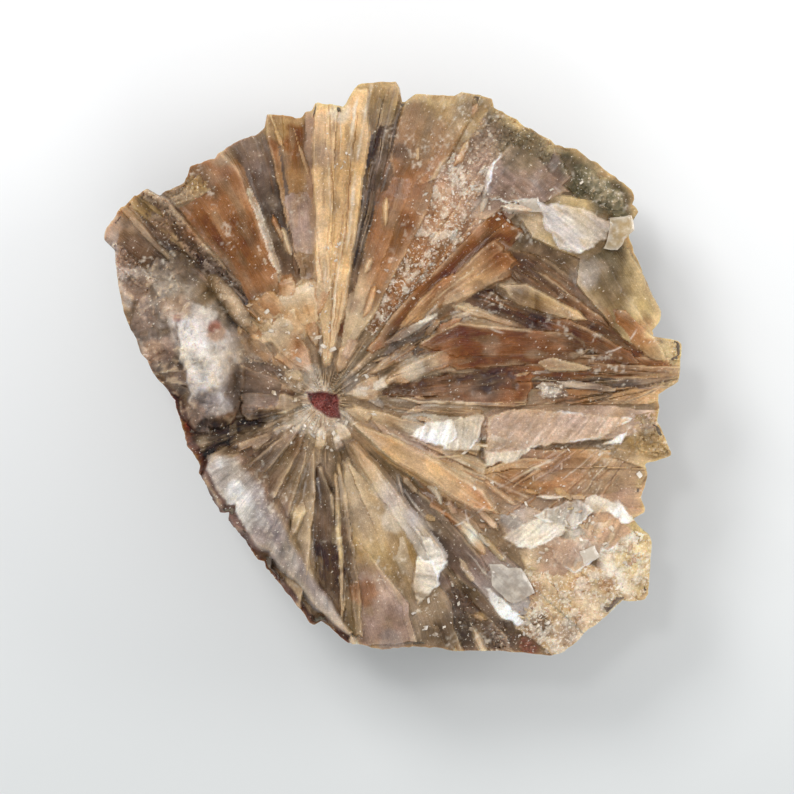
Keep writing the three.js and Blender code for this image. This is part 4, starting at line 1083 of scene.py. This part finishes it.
    def dig_pit(self):
        """Sinks the small angular pit at the common root of the blades, in a chalky halo."""
        x, y = self.x, self.y
        halo = smooth((1.9 - np.hypot(x + 0.4, y + 0.7) + 2.2 * lumps(x, y, 0.9, 205, 4)) / 0.8)
        self.blend(0.8 * halo, mixed(linear("sand"), linear("frost"), spots(x, y, 0.4, 207)[..., None]))
        inset = depth_inside(np.array(PIT), x, y) + 0.14 * lumps(x, y, 0.4, 201)
        share = smooth(inset / 0.15)
        self.z -= 0.6 * share
        self.blend(share, linear("maroon") * (0.8 + 0.9 * spots(x, y, 0.35, 211))[..., None])

    def sprinkle(self):
        """Dusts the face with fine frosting, thickest on sugary parts and along proud edges; the white
        specks are also painted glints.
        """
        x, y = self.x, self.y
        proud = np.clip(self.z - blurred(self.z, 0.4), 0, 0.3) / 0.3
        sugary = ramp(self.finish[..., 1], 0.6, 0.85)
        drifts = ramp(lumps(x, y, 2.2, 295), 0.05, 0.4)
        crumbs = ramp(lumps(x, y, 0.25, 299, 2), 0.1, 0.5)
        self.blend(0.6 * drifts * crumbs, linear("ivory"))
        self.blend(0.5 * sugary * ramp(lumps(x, y, 1.1, 309), 0.12, 0.42), linear("amber"))
        soft = sugary * ramp(lumps(x, y, 0.6, 307, 5), 0.02, 0.27)
        self.z += 0.08 * soft
        self.blend(0.6 * soft, linear("ivory"))
        clumps = ramp(spots(x, y, 0.45, 293), 0.35, 0.75)
        patchy = ramp(spots(x, y, 2.1, 291), 0.45, 0.7) * clumps
        # the white specks are frosting and also painted glints, most along proud edges
        density = 0.001 + 0.01 * patchy + 0.05 * patchy * proud + 0.05 * sugary * clumps
        i, j = np.indices(x.shape)
        speck = lattice(i, j, 0, 301) < density
        self.blend(speck * (0.25 + 0.6 * lattice(i, j, 1, 303)), linear("frost"))
        self.z += 0.05 * speck * lattice(i, j, 2, 305)

    def height(self, x, y):
        """Height of the face at any place."""
        i = np.clip(np.rint((x - self.low[0]) / GRID).astype(int), 0, self.x.shape[0] - 1)
        j = np.clip(np.rint((y - self.low[1]) / GRID).astype(int), 0, self.x.shape[1] - 1)
        return self.z[i, j]


face = Face()
for i, row in enumerate(BLADES.values()):
    face.lay(Blade(row, 11 + i))
for i, row in enumerate(heap_rows()):
    face.lay(Blade(row, 500 + i), 0.1, 0.7)
for i, (row, height) in enumerate(rib_rows()):
    face.score(Blade(row, 900 + i), height)
face.fill_clefts()
for i, row in enumerate(FACETS.values()):
    face.lay_facet(*row, 40 + i)
face.lay_crest()
for row in BOSSES:
    face.lay_boss(*row)
for i, row in enumerate(PATCHES.values()):
    face.patch(*row, 400 + 5 * i)
face.lay_satin_band()
for row in STAINS:
    face.stain(*row)
hairs = np.random.default_rng(9)
for _ in range(SCRATCHES):
    face.scratch(hairs)
face.cloud()
face.edge_skin()
face.edge_glow()
face.shade_hollows()
face.deepen()
face.dig_pit()
face.sprinkle()

# ------------------------------------------------------------------------- face and wall as mesh

WALL_ROWS = (0.02, 0.06, 0.12, 0.2, 0.3, 0.41, 0.53, 0.66, 0.8, 0.92, 1.0)  # shares of the depth
SECTORS = {"upper_face": (52, 198), "lower_face": (198, 318), "side_face": (318, 412)}
RADIAN = 57.3  # degrees, rounded


def sector_cells(first, last):
    """The cells of the relief inside the outline between two bearings, as corner numbers."""
    middle_x = (face.x[1:, 1:] + face.x[:-1, :-1]) / 2
    middle_y = (face.y[1:, 1:] + face.y[:-1, :-1]) / 2
    bearing = bearing_of(middle_x, middle_y)
    keep = np.hypot(middle_x, middle_y) < rim_radius(bearing)
    keep &= ((bearing - first) % 360) < (last - first)
    for _ in range(3):  # no two cells may touch by a corner only
        sw, se, ne, nw = keep[:-1, :-1], keep[1:, :-1], keep[1:, 1:], keep[:-1, 1:]
        pinch = (sw & ne & ~se & ~nw) | (se & nw & ~sw & ~ne)
        for quarter in (sw, se, ne, nw):
            quarter |= pinch
    index = np.arange(face.x.size).reshape(face.x.shape)
    return np.stack([index[:-1, :-1], index[1:, :-1], index[1:, 1:], index[:-1, 1:]], axis=-1)[keep]


def edge_loop(cells):
    """The corners around the edge of some cells, in order."""
    edges = np.concatenate([cells[:, [k, (k + 1) % 4]] for k in range(4)])
    pairs = set(map(tuple, edges.tolist()))
    after = {a: b for a, b in pairs if (b, a) not in pairs}
    loop = [next(iter(after))]
    while after[loop[-1]] != loop[0]:
        loop.append(after[loop[-1]])
    return np.array(loop)


def sector_part(first, last):
    """A closed part of the face: its top, its wall down the rim, and a hidden flat underside."""
    used, cells = np.unique(sector_cells(first, last), return_inverse=True)
    cells = cells.reshape(-1, 4)
    top = np.stack([values.ravel()[used] for values in (face.x, face.y, face.z)], axis=1)
    loop = edge_loop(cells)

    # the edge slides onto the outline, then runs down the wall
    bearing = bearing_of(*top[loop, :2].T)
    radius = np.hypot(*top[loop, :2].T)
    rim = rim_radius(bearing)
    at_rim = radius > rim - 2 * GRID
    top[loop[at_rim], :2] *= (rim / radius)[at_rim, None]
    edge = top[loop]
    outward = edge[:, :2] / np.maximum(np.hypot(*edge[:, :2].T), 0.1)[:, None]
    foot = level(*edge[:, :2].T) - WALL_DEPTH
    arc = bearing / RADIAN * radius
    streak = 0.75 + 0.5 * noise(arc / 0.5, 0.5, seed=261)
    tint, grain, finish = (v.reshape(-1, 3)[used] for v in (face.tint, face.grain, face.finish))
    points, tints, places = [top], [tint], [grain]
    for share in WALL_ROWS:
        down = share * WALL_DEPTH
        z = mixed(edge[:, 2], foot, share)
        columns = 0.5 * (noise(arc / 0.9, 0.5 + down / 9, seed=231) - 0.5)
        columns += 0.2 * (noise(arc / 0.3, down / 4, seed=241) - 0.5)
        columns += 0.2 * (noise(arc / 0.8, z / 0.8, seed=251) - 0.5)
        inward = WALL_LEAN * share + 0.2 - columns * smooth(share * 6)
        flat = edge[:, :2] - outward * (inward * at_rim * smooth(share * 8))[:, None]
        points.append(np.column_stack([flat, z]))
        # the wall is painted darker towards its foot, as shade
        tints.append(tint[loop] * (streak * (1 - 0.45 * share))[:, None])
        places.append(np.column_stack([np.full(len(loop), down), arc, grain[loop, 2]]))
    rings = [loop] + [len(top) + k * len(loop) + np.arange(len(loop)) for k in range(len(WALL_ROWS))]
    faces = cells.tolist()
    for upper, lower in zip(rings, rings[1:]):
        faces += np.column_stack([np.roll(upper, -1), upper, lower, np.roll(lower, -1)]).tolist()
    faces.append(rings[-1][::-1].tolist())
    attributes = {
        "tint": np.concatenate(tints),
        "grain": np.concatenate(places),
        "finish": np.concatenate([finish] + [finish[loop]] * len(WALL_ROWS)),
    }
    return np.concatenate(points), faces, attributes


# ------------------------------------------------------------------------------------------ crust

VOXEL = 0.22  # size of the even cells that the CAD solid is remeshed with

# Soft patches of tone on the wall and the back: [bearing, height, reach, tone].
WALL_PATCHES = [
    (140, 9, 3.0, "dove"), (152, 8, 3.4, "chalk"), (168, 9, 2.6, "shell"), (182, 7, 2.6, "slate"),
    (210, 7, 3.0, "skin"), (228, 9, 2.2, "maroon"), (246, 6, 3.0, "skin"), (262, 8, 2.2, "maroon"),
    (35, 6, 3.5, "rind"), (60, 5, 3.0, "moss"), (90, 5, 3.5, "khaki"), (115, 6, 3.0, "ash"),
    (300, 5, 3.0, "slate"), (325, 5, 3.0, "sand"), (350, 5, 3.0, "khaki"),
]


def voxel_copy():
    """The CAD solid as an even mesh in millimetres."""
    copy = cad.data.copy()
    copy.transform(scale_matrix(1 / MM))
    for key in [a.name for a in copy.attributes if not a.is_required]:
        copy.attributes.remove(copy.attributes[key])
    thing = bpy.data.objects.new("crust_source", copy)
    bpy.context.scene.collection.objects.link(thing)
    remesh = thing.modifiers.new("remesh", "REMESH")
    remesh.mode = "VOXEL"
    remesh.voxel_size = VOXEL
    graph = bpy.context.evaluated_depsgraph_get()
    mesh = bpy.data.meshes.new_from_object(thing.evaluated_get(graph), depsgraph=graph)
    bpy.data.objects.remove(thing)
    return mesh


def crust_tint(x, y, z):
    """Colours of the crust: mottled, with soft patches, and darker in fine blotches of painted shade that
    stand for its hollows.
    """
    bearing, radius = bearing_of(x, y), np.hypot(x, y)
    mottle = noise(x / 2.3, y / 2.3, z / 2.3, seed=51)[:, None]
    tint = mixed(linear("rind"), linear("ash"), mottle)
    for patch_bearing, patch_height, reach, tone in WALL_PATCHES:
        turn = np.abs((bearing - patch_bearing + 180) % 360 - 180) / RADIAN * radius
        away = np.hypot(turn, z - patch_height) + 0.45 * reach * rough(x / 1.6, y / 1.6, z / 1.6, 61)
        tint = mixed(tint, linear(tone), 0.85 * ramp(away, reach, reach / 2)[:, None])
    # painted shade: fine dark blotches standing for the crust's hollows
    hollow = rough(x / 0.7, y / 0.7, z / 0.7, 31, 2)
    return tint * (0.95 + 0.4 * np.clip(hollow, -1, 1))[:, None]


def crust_mesh():
    """The mass behind the blades: the CAD solid, roughened, and sunk where the face covers it."""
    mesh = voxel_copy()
    count = len(mesh.vertices)
    before, normal = np.empty((count, 3)), np.empty((count, 3))
    mesh.vertices.foreach_get("co", before.ravel())
    mesh.vertices.foreach_get("normal", normal.ravel())
    x, y, z = before.T
    bearing, radius = bearing_of(x, y), np.hypot(x, y)

    bulges = 0.22 * rough(x / 1.9, y / 1.9, z / 1.9, 21) + 0.12 * rough(x / 0.6, y / 0.6, z / 0.6, 31)
    flatness = np.clip(z / 0.8, 0, 1)  # the resting patch stays in its plane
    bulges = np.where(normal[:, 2] < -0.8, -0.6 * np.abs(bulges), bulges * flatness) - 0.06
    moved = before + normal * bulges[:, None]
    # behind the broken ends of the blades the crust only clings in places
    clinging = noise(x / 1.9, y / 1.9, z / 1.9, seed=91) > 0.56
    high = smooth((z - level(x, y) + WALL_DEPTH + 0.3) / 0.6)
    moved[:, :2] *= (1 - high * np.where(clinging, 0.1, 0.75) / np.maximum(radius, 1))[:, None]
    reach = np.hypot(*moved[:, :2].T)
    most = rim_radius(bearing_of(*moved[:, :2].T)) - 0.12
    moved[:, :2] *= np.minimum(1, most / np.maximum(reach, 1))[:, None]
    covered = (np.hypot(*moved[:, :2].T) < rim_radius(bearing) - 0.35) & (z > level(x, y) - WALL_DEPTH)
    sunk = np.minimum(moved[:, 2], face.height(moved[:, 0], moved[:, 1]) - 0.3)
    moved[:, 2] = np.maximum(np.where(covered, sunk, moved[:, 2]), 0)
    mesh.vertices.foreach_set("co", moved.ravel())
    paint(mesh, {
        "tint": crust_tint(x, y, z),
        "grain": np.column_stack([z, bearing / RADIAN * 12, np.zeros(count)]),
        "finish": np.tile([0.75, 0.4, 0.25], (count, 1)),
    })
    return mesh


# --------------------------------------------------------------------- clear plates and small chips

PLATE_THICKNESS = 0.8
PLATE_STEP = 0.45  # length of the steps along a plate's side
PLATE_DETAIL = 0.3  # edges longer than this are cut in two


def ragged_outline(corners, dice):
    """The outline between some corners, each side broken into short uneven steps."""
    corners = np.array(corners, dtype=float)
    outline = []
    for a, b in zip(corners, np.roll(corners, -1, axis=0)):
        length = np.hypot(*(b - a))
        across = np.array([a[1] - b[1], b[0] - a[0]]) / length
        steps = max(2, round(length / PLATE_STEP))
        for k in range(steps):
            jog = 0 if k == 0 else dice.normal(0, 0.05)
            outline.append(a + (b - a) * k / steps + across * jog)
    return np.array(outline)


def plate_solid(outline):
    """A thick plate with a fine top: its points, which of them are on top, and its faces."""
    solid = bmesh.new()
    solid.faces.new([solid.verts.new((x, y, 0)) for x, y in outline])
    bmesh.ops.triangulate(solid, faces=solid.faces)
    for _ in range(4):
        long = [edge for edge in solid.edges if edge.calc_length() > PLATE_DETAIL]
        bmesh.ops.subdivide_edges(solid, edges=long, cuts=1)
        bmesh.ops.triangulate(solid, faces=solid.faces)
    raised = bmesh.ops.extrude_face_region(solid, geom=solid.faces[:], use_keep_orig=True)["geom"]
    high = set(thing for thing in raised if isinstance(thing, bmesh.types.BMVert))
    solid.verts.index_update()
    points = np.array([vertex.co[:] for vertex in solid.verts])
    on_top = np.array([vertex in high for vertex in solid.verts])
    bmesh.ops.recalc_face_normals(solid, faces=solid.faces)
    faces = [[vertex.index for vertex in loop.verts] for loop in solid.faces]
    solid.free()
    return points, on_top, faces


def plate_part(tone, lift, corners, seed):
    """A closed plate with a ragged outline and a few flat facets on top."""
    dice = np.random.default_rng(seed)
    outline = ragged_outline(corners, dice)
    points, on_top, faces = plate_solid(outline)
    x, y = points[:, 0], points[:, 1]
    middle = outline.mean(axis=0)
    width = np.sqrt(np.ptp(outline[:, 0]) * np.ptp(outline[:, 1]))
    roof = np.full(len(points), 9.0)
    for turn in dice.uniform(0, FULL_CIRCLE, 4):
        lean = turned(x, y, middle, turn)[0]
        roof = np.minimum(roof, 0.05 * width - dice.uniform(0.05, 0.22) * lean)
    inset = away_from(outline, x, y)
    base = level(*middle) + lift
    top = base + roof - 0.1 * np.clip(1 - inset / 0.15, 0, 1)
    points[:, 2] = np.where(on_top, top, base - PLATE_THICKNESS)
    pale = smooth(1 - inset / 0.3) * (0.3 + 0.7 * spots(x, y, 0.7, seed))
    veins = ramp(np.abs(noise(x / 0.9, y / 1.8, seed=seed + 1) - 0.5), 0.06, 0.01)
    pale = np.maximum(pale, 0.6 * veins)[:, None]
    along, off = turned(x, y, CENTRE, math.atan2(middle[1], middle[0]))
    attributes = {
        "tint": mixed(linear(tone), linear("frost"), pale),
        "grain": np.column_stack([along, off, points[:, 2]]),
        "finish": np.tile([0.1, 0.3, 0.3], (len(points), 1)),
    }
    return points, faces, attributes


# Where small chips and frosting lie: bearings, radii, how many, sizes, tones.
CHIPS = [
    ((49, 65), (6.5, 17.5), 150, (0.1, 0.26), "ivory rose peach rose"),
    ((312, 337), (17, 23.5), 260, (0.1, 0.3), "cream ivory glow peach"),
    ((0, 360), (1.4, 3.6), 120, (0.1, 0.3), "frost ivory cream pearl"),
    ((84, 90), (4, 19), 60, (0.08, 0.2), "frost ivory"),
    ((320, 350), (9, 20), 90, (0.08, 0.26), "frost ivory peach"),
    ((290, 315), (14.5, 21), 100, (0.1, 0.28), "ivory pearl khaki"),
    ((40, 56), (16, 22.5), 60, (0.08, 0.24), "ivory khaki pearl"),
    ((92, 130), (4, 8), 60, (0.12, 0.34), "ivory cream straw"),
    ((346, 352), (20.6, 21.9), 16, (0.3, 0.6), "frost ivory"),
]


def chip_parts():
    """Small broken crystals: blocks with slanted ends, half sunk in the face."""
    dice = np.random.default_rng(17)
    corners = np.array([[a, b, c] for a in (-1, 1) for b in (-1, 1) for c in (-1, 1)], dtype=float)
    sides = [[0, 1, 3, 2], [4, 6, 7, 5], [0, 4, 5, 1], [2, 3, 7, 6], [0, 2, 6, 4], [1, 5, 7, 3]]
    for bearings, radii, count, sizes, tones in CHIPS:
        for _ in range(count):
            x, y = polar(dice.uniform(*bearings), math.sqrt(dice.uniform(radii[0] ** 2, radii[1] ** 2)))
            bare = spots(x, y, 1.3, 401) < dice.uniform(0.3, 0.6)
            if bare or math.hypot(x, y) > rim_radius(bearing_of(x, y)) - 0.35:
                continue
            size = dice.uniform(*sizes) ** 1.5 / sizes[1] ** 0.5
            stretch = np.array([dice.uniform(0.6, 1.5), dice.uniform(0.4, 0.9), dice.uniform(0.3, 0.7)])
            shape = corners * stretch * size / 2
            shape[:, 0] += shape[:, 2] * dice.uniform(-1, 1) + shape[:, 1] * dice.uniform(-0.8, 0.8)
            turn = Euler(dice.uniform(-0.7, 0.7, 3) + np.array([0, 0, dice.uniform(0, 6.3)])).to_matrix()
            points = shape @ np.array(turn).T + [x, y, face.height(x, y) + 0.12 * size]
            tint = np.tile(linear(dice.choice(tones.split())) * dice.uniform(0.8, 1.1), (8, 1))
            finish = np.tile([[dice.uniform(0.08, 0.3), 0.5, 0.2]], (8, 1))
            yield points, sides, {"tint": tint, "grain": points.copy(), "finish": finish}


# -------------------------------------------------------------------------------------- materials


class Nodes:
    """Short ways to build a node tree around a surface shader."""

    def __init__(self, name):
        self.material = bpy.data.materials.new(name)
        self.material.use_nodes = True
        self.tree = self.material.node_tree
        self.shader = self.tree.nodes["Principled BSDF"]

    def put(self, socket, value):
        """Links a socket to another one, or gives it a value."""
        if isinstance(value, bpy.types.NodeSocket):
            self.tree.links.new(value, socket)
        else:
            socket.default_value = value

    def add(self, kind, inputs=None, **settings):
        """A new node, with its inputs by name or by number."""
        node = self.tree.nodes.new(kind)
        for key, value in settings.items():
            setattr(node, key, value)
        for key, value in (inputs or {}).items():
            self.put(node.inputs[key], value)
        return node

    def attribute(self, key, output="Color"):
        return self.add("ShaderNodeAttribute", attribute_name=key).outputs[output]

    def place_mm(self):
        """Places on the object, in millimetres."""
        return self.stretch(self.add("ShaderNodeTexCoord").outputs["Object"], 1000, 1000, 1000)

    def maths(self, operation, *values):
        return self.add("ShaderNodeMath", dict(enumerate(values)), operation=operation).outputs[0]

    def ramp(self, value, low, high, out_low=0.0, out_high=1.0):
        inputs = {"Value": value, "From Min": low, "From Max": high, "To Min": out_low, "To Max": out_high}
        return self.add("ShaderNodeMapRange", inputs).outputs[0]

    def mix(self, share, a, b):
        return self.add("ShaderNodeMix", {0: share, 6: a, 7: b}, data_type="RGBA").outputs[2]

    def noise(self, vector, scale, detail=2.0, roughness=0.5):
        inputs = {"Vector": vector, "Scale": scale, "Detail": detail, "Roughness": roughness}
        return self.add("ShaderNodeTexNoise", inputs).outputs["Fac"]

    def stretch(self, vector, x, y, z):
        return self.add("ShaderNodeVectorMath", {0: vector, 1: (x, y, z)}, operation="MULTIPLY").outputs[0]

    def shaded(self, tint, shade):
        inputs = {0: tint, "Scale": shade}
        return self.add("ShaderNodeVectorMath", inputs, operation="SCALE").outputs[0]

    def flecks(self, value, limit, width, strength):
        """Shares of small flecks, where a noise passes a limit."""
        return self.maths("MULTIPLY", self.ramp(self.maths("SUBTRACT", value, limit), 0, width), strength)

    def bump(self, height, strength, distance):
        inputs = {"Strength": strength, "Distance": distance * MM, "Height": height}
        return self.add("ShaderNodeBump", inputs).outputs[0]

    def finish(self, inputs):
        """The material, with the inputs of its shader by name."""
        for key, value in inputs.items():
            self.put(self.shader.inputs[key], value)
        return self.material


def colour(tone):
    """A tone as the value of a colour socket."""
    return (*linear(tone), 1)


def crystal_material():
    """Brown gypsum: streaked along the blades, mottled, specked with frosting and pale flecks that are also
    painted glints, glossy in places.
    """
    k = Nodes("brown_gypsum")
    grain, place_mm = k.attribute("grain", "Vector"), k.place_mm()
    gloss, frost, streak = k.add("ShaderNodeSeparateColor", {0: k.attribute("finish")}).outputs
    coarse = k.noise(k.stretch(grain, 0.16, 2.6, 1), 1, 3, 0.6)
    fine = k.noise(k.stretch(grain, 0.5, 11, 1), 1, 2, 0.6)
    mottle = k.noise(place_mm, 0.8, 4, 0.65)
    speck = k.noise(place_mm, 5.5, 2, 0.7)
    crumb = k.noise(place_mm, 14, 2, 0.6)

    fibres = k.maths("ADD", k.maths("MULTIPLY", coarse, 0.6), k.maths("MULTIPLY", fine, 0.4))
    light = k.ramp(fibres, 0.3, 0.7, -0.3, 0.3)
    shade = k.maths("ADD", k.maths("MULTIPLY", light, streak), 1.0)
    for pattern, spread in ((mottle, (0.8, 1.18)), (speck, (0.87, 1.13)), (crumb, (0.84, 1.16))):
        shade = k.maths("MULTIPLY", shade, k.ramp(pattern, 0.3, 0.7, *spread))
    base = k.shaded(k.attribute("tint"), shade)
    # pale flecks: frosting and dust, and painted glints as well
    frost_and_glints = k.mix(k.flecks(speck, k.ramp(frost, 0, 1, 0.71, 0.56), 0.05, 0.7), base, colour("frost"))
    dust_and_glints = k.mix(k.flecks(crumb, 0.7, 0.05, 0.5), frost_and_glints, colour("cream"))
    relief = k.maths("ADD", k.maths("MULTIPLY", fine, streak), k.maths("MULTIPLY", crumb, 0.35))
    return k.finish({
        "Base Color": dust_and_glints,
        "Roughness": k.maths("ADD", gloss, k.ramp(fine, 0.3, 0.7, -0.08, 0.14)),
        "Normal": k.bump(relief, 0.45, 0.08),
        "IOR": 1.52,
        "Specular IOR Level": 0.32,
        "Coat Weight": 0.06,
        "Coat Roughness": 0.1,
        "Subsurface Weight": 0.7,
        "Subsurface Radius": (1.0, 0.7, 0.45),
        "Subsurface Scale": 0.6 * MM,
    })


def crust_material():
    """Host rock: dull, grainy and blotched."""
    k = Nodes("host_crust")
    place_mm = k.place_mm()
    frost = k.add("ShaderNodeSeparateColor", {0: k.attribute("finish")}).outputs[1]
    mottle = k.noise(place_mm, 0.9, 5, 0.7)
    speck = k.noise(place_mm, 3.4, 3, 0.7)
    crumb = k.noise(place_mm, 11, 3, 0.65)
    blotch = k.noise(place_mm, 2.3, 3, 0.7)
    shade = k.maths("MULTIPLY", k.ramp(mottle, 0.3, 0.7, 0.6, 1.45), k.ramp(crumb, 0.3, 0.7, 0.75, 1.25))
    base = k.shaded(k.attribute("tint"), shade)
    pale = k.mix(k.flecks(speck, k.ramp(frost, 0, 1, 0.68, 0.55), 0.06, 0.7), base, colour("cream"))
    return k.finish({
        "Base Color": k.mix(k.ramp(blotch, 0.6, 0.68, 0, 0.7), pale, colour("sable")),
        "Roughness": k.ramp(crumb, 0.3, 0.7, 0.6, 0.85),
        "Normal": k.bump(k.maths("ADD", crumb, k.maths("MULTIPLY", speck, 0.8)), 0.6, 0.15),
        "IOR": 1.5,
    })


def clear_material(name, see_through, roughness, dullness):
    """Clear gypsum: tinted glass-like plates with inner veils and fine cleavage lines."""
    k = Nodes(name)
    place_mm = k.place_mm()
    veil = k.noise(place_mm, 0.9, 4, 0.65)
    lines = k.noise(k.stretch(k.attribute("grain", "Vector"), 0.3, 6, 1), 1, 2, 0.6)
    crumb = k.noise(place_mm, 9, 2, 0.6)
    window = k.noise(place_mm, 0.55, 3, 0.6)
    dull = k.mix(k.ramp(window, 0.42, 0.62, 0, dullness), k.attribute("tint"), colour("gold"))
    streaked = k.mix(k.ramp(lines, 0.58, 0.7, 0, 0.35), dull, colour("sand"))
    cloudy = k.maths("ADD", veil, k.maths("MULTIPLY", lines, 0.25))
    return k.finish({
        "Base Color": k.mix(k.ramp(veil, 0.5, 0.65, 0, 0.7), streaked, colour("frost")),
        "Transmission Weight": k.ramp(cloudy, 0.5, 0.75, see_through, 0.6 * see_through),
        "Roughness": k.ramp(crumb, 0.3, 0.7, roughness, roughness + 0.12),
        "Normal": k.bump(k.maths("ADD", lines, k.maths("MULTIPLY", crumb, 0.4)), 0.3, 0.06),
        "IOR": 1.52,
    })


# ----------------------------------------------------------------------------------------- pieces

# Kinds of clear crystal: how see-through, how rough, and how dull inside.
CLEAR = {"clear": (0.55, 0.06, 0.2), "smoky": (0.25, 0.1, 0.3)}

brown_gypsum = crystal_material()
for sector, bearings in SECTORS.items():
    place(sector, mesh_from(sector, [sector_part(*bearings)]), brown_gypsum, 30)
place("crust", crust_mesh(), crust_material(), 50)
for kind, look in CLEAR.items():
    rows = [row[1:] for row in PLATES.values() if row[0] == kind]
    parts = [plate_part(*row, 61 + i) for i, row in enumerate(rows)]
    name = kind + "_plates"
    place(name, mesh_from(name, parts), clear_material(kind + "_gypsum", *look), 12)
place("chips", mesh_from("chips", list(chip_parts())), clear_material("sugar_gypsum", 0.1, 0.12, 0.0), 10)

# ---------------------------------------------------------------------------- floor, light, camera

FLOOR_SIZE = 2.0  # half the width of the floor, in metres
PICTURE_WIDTH = 51.9  # width of the picture at the crystal face
PICTURE_CENTRE = (4.7, 0.2)
CAMERA_HEIGHT = 420
SENSOR = 36
AIM = Vector((4, 0, 6)) * MM  # the lights point at the middle of the specimen

# Softboxes: [name, place, width, watts].
LIGHTS = [
    ("key", (-160, 190, 260), 130, 0.5),
    ("glint", (-70, 100, 390), 50, 0.14),
    ("rim", (230, 60, 120), 120, 0.2),
    ("fill", (40, -240, 180), 180, 0.15),
]


def stage_floor():
    """A pale floor, painted whiter towards the top of the picture and greyer towards the bottom, as light
    that falls off.
    """
    mesh = bpy.data.meshes.new("floor")
    corners = [(x * FLOOR_SIZE, y * FLOOR_SIZE, 0) for x, y in ((-1, -1), (1, -1), (1, 1), (-1, 1))]
    mesh.from_pydata(corners, [], [(0, 1, 2, 3)])
    floor = bpy.data.objects.new("floor", mesh)
    bpy.context.scene.collection.objects.link(floor)
    k = Nodes("pale_floor")
    across = k.add("ShaderNodeSeparateXYZ", {0: k.add("ShaderNodeTexCoord").outputs["Object"]})
    # painted fall-off of the light across the floor
    share = k.ramp(across.outputs["Y"], -0.03, 0.025)
    mesh.materials.append(k.finish({
        "Base Color": k.mix(share, (0.66, 0.675, 0.67, 1), (0.97, 0.97, 0.97, 1)),
        "Roughness": 0.9,
        "Specular IOR Level": 0.2,
    }))


def soft_light(name, place_mm, size_mm, watts):
    """A square softbox that points at the specimen."""
    data = bpy.data.lights.new(name, "AREA")
    data.shape = "SQUARE"
    data.size = size_mm * MM
    data.energy = watts
    lamp = bpy.data.objects.new(name, data)
    bpy.context.scene.collection.objects.link(lamp)
    lamp.location = Vector(place_mm) * MM
    lamp.rotation_euler = (AIM - lamp.location).to_track_quat("-Z", "Y").to_euler()


stage_floor()
for light in LIGHTS:
    soft_light(*light)

world = bpy.data.worlds.new("studio")
bpy.context.scene.world = world
world.use_nodes = True
world.node_tree.nodes["Background"].inputs["Color"].default_value = (0.96, 0.98, 1, 1)
world.node_tree.nodes["Background"].inputs["Strength"].default_value = 0.6

camera_data = bpy.data.cameras.new("camera")
camera_data.sensor_width = SENSOR
camera_data.lens = SENSOR * (CAMERA_HEIGHT - FACE_LEVEL) / PICTURE_WIDTH
camera_data.clip_start = 0.01
camera = bpy.data.objects.new("camera", camera_data)
camera.location = (PICTURE_CENTRE[0] * MM, PICTURE_CENTRE[1] * MM, CAMERA_HEIGHT * MM)
bpy.context.scene.collection.objects.link(camera)
bpy.context.scene.camera = camera
bpy.context.scene.view_settings.view_transform = "Standard"
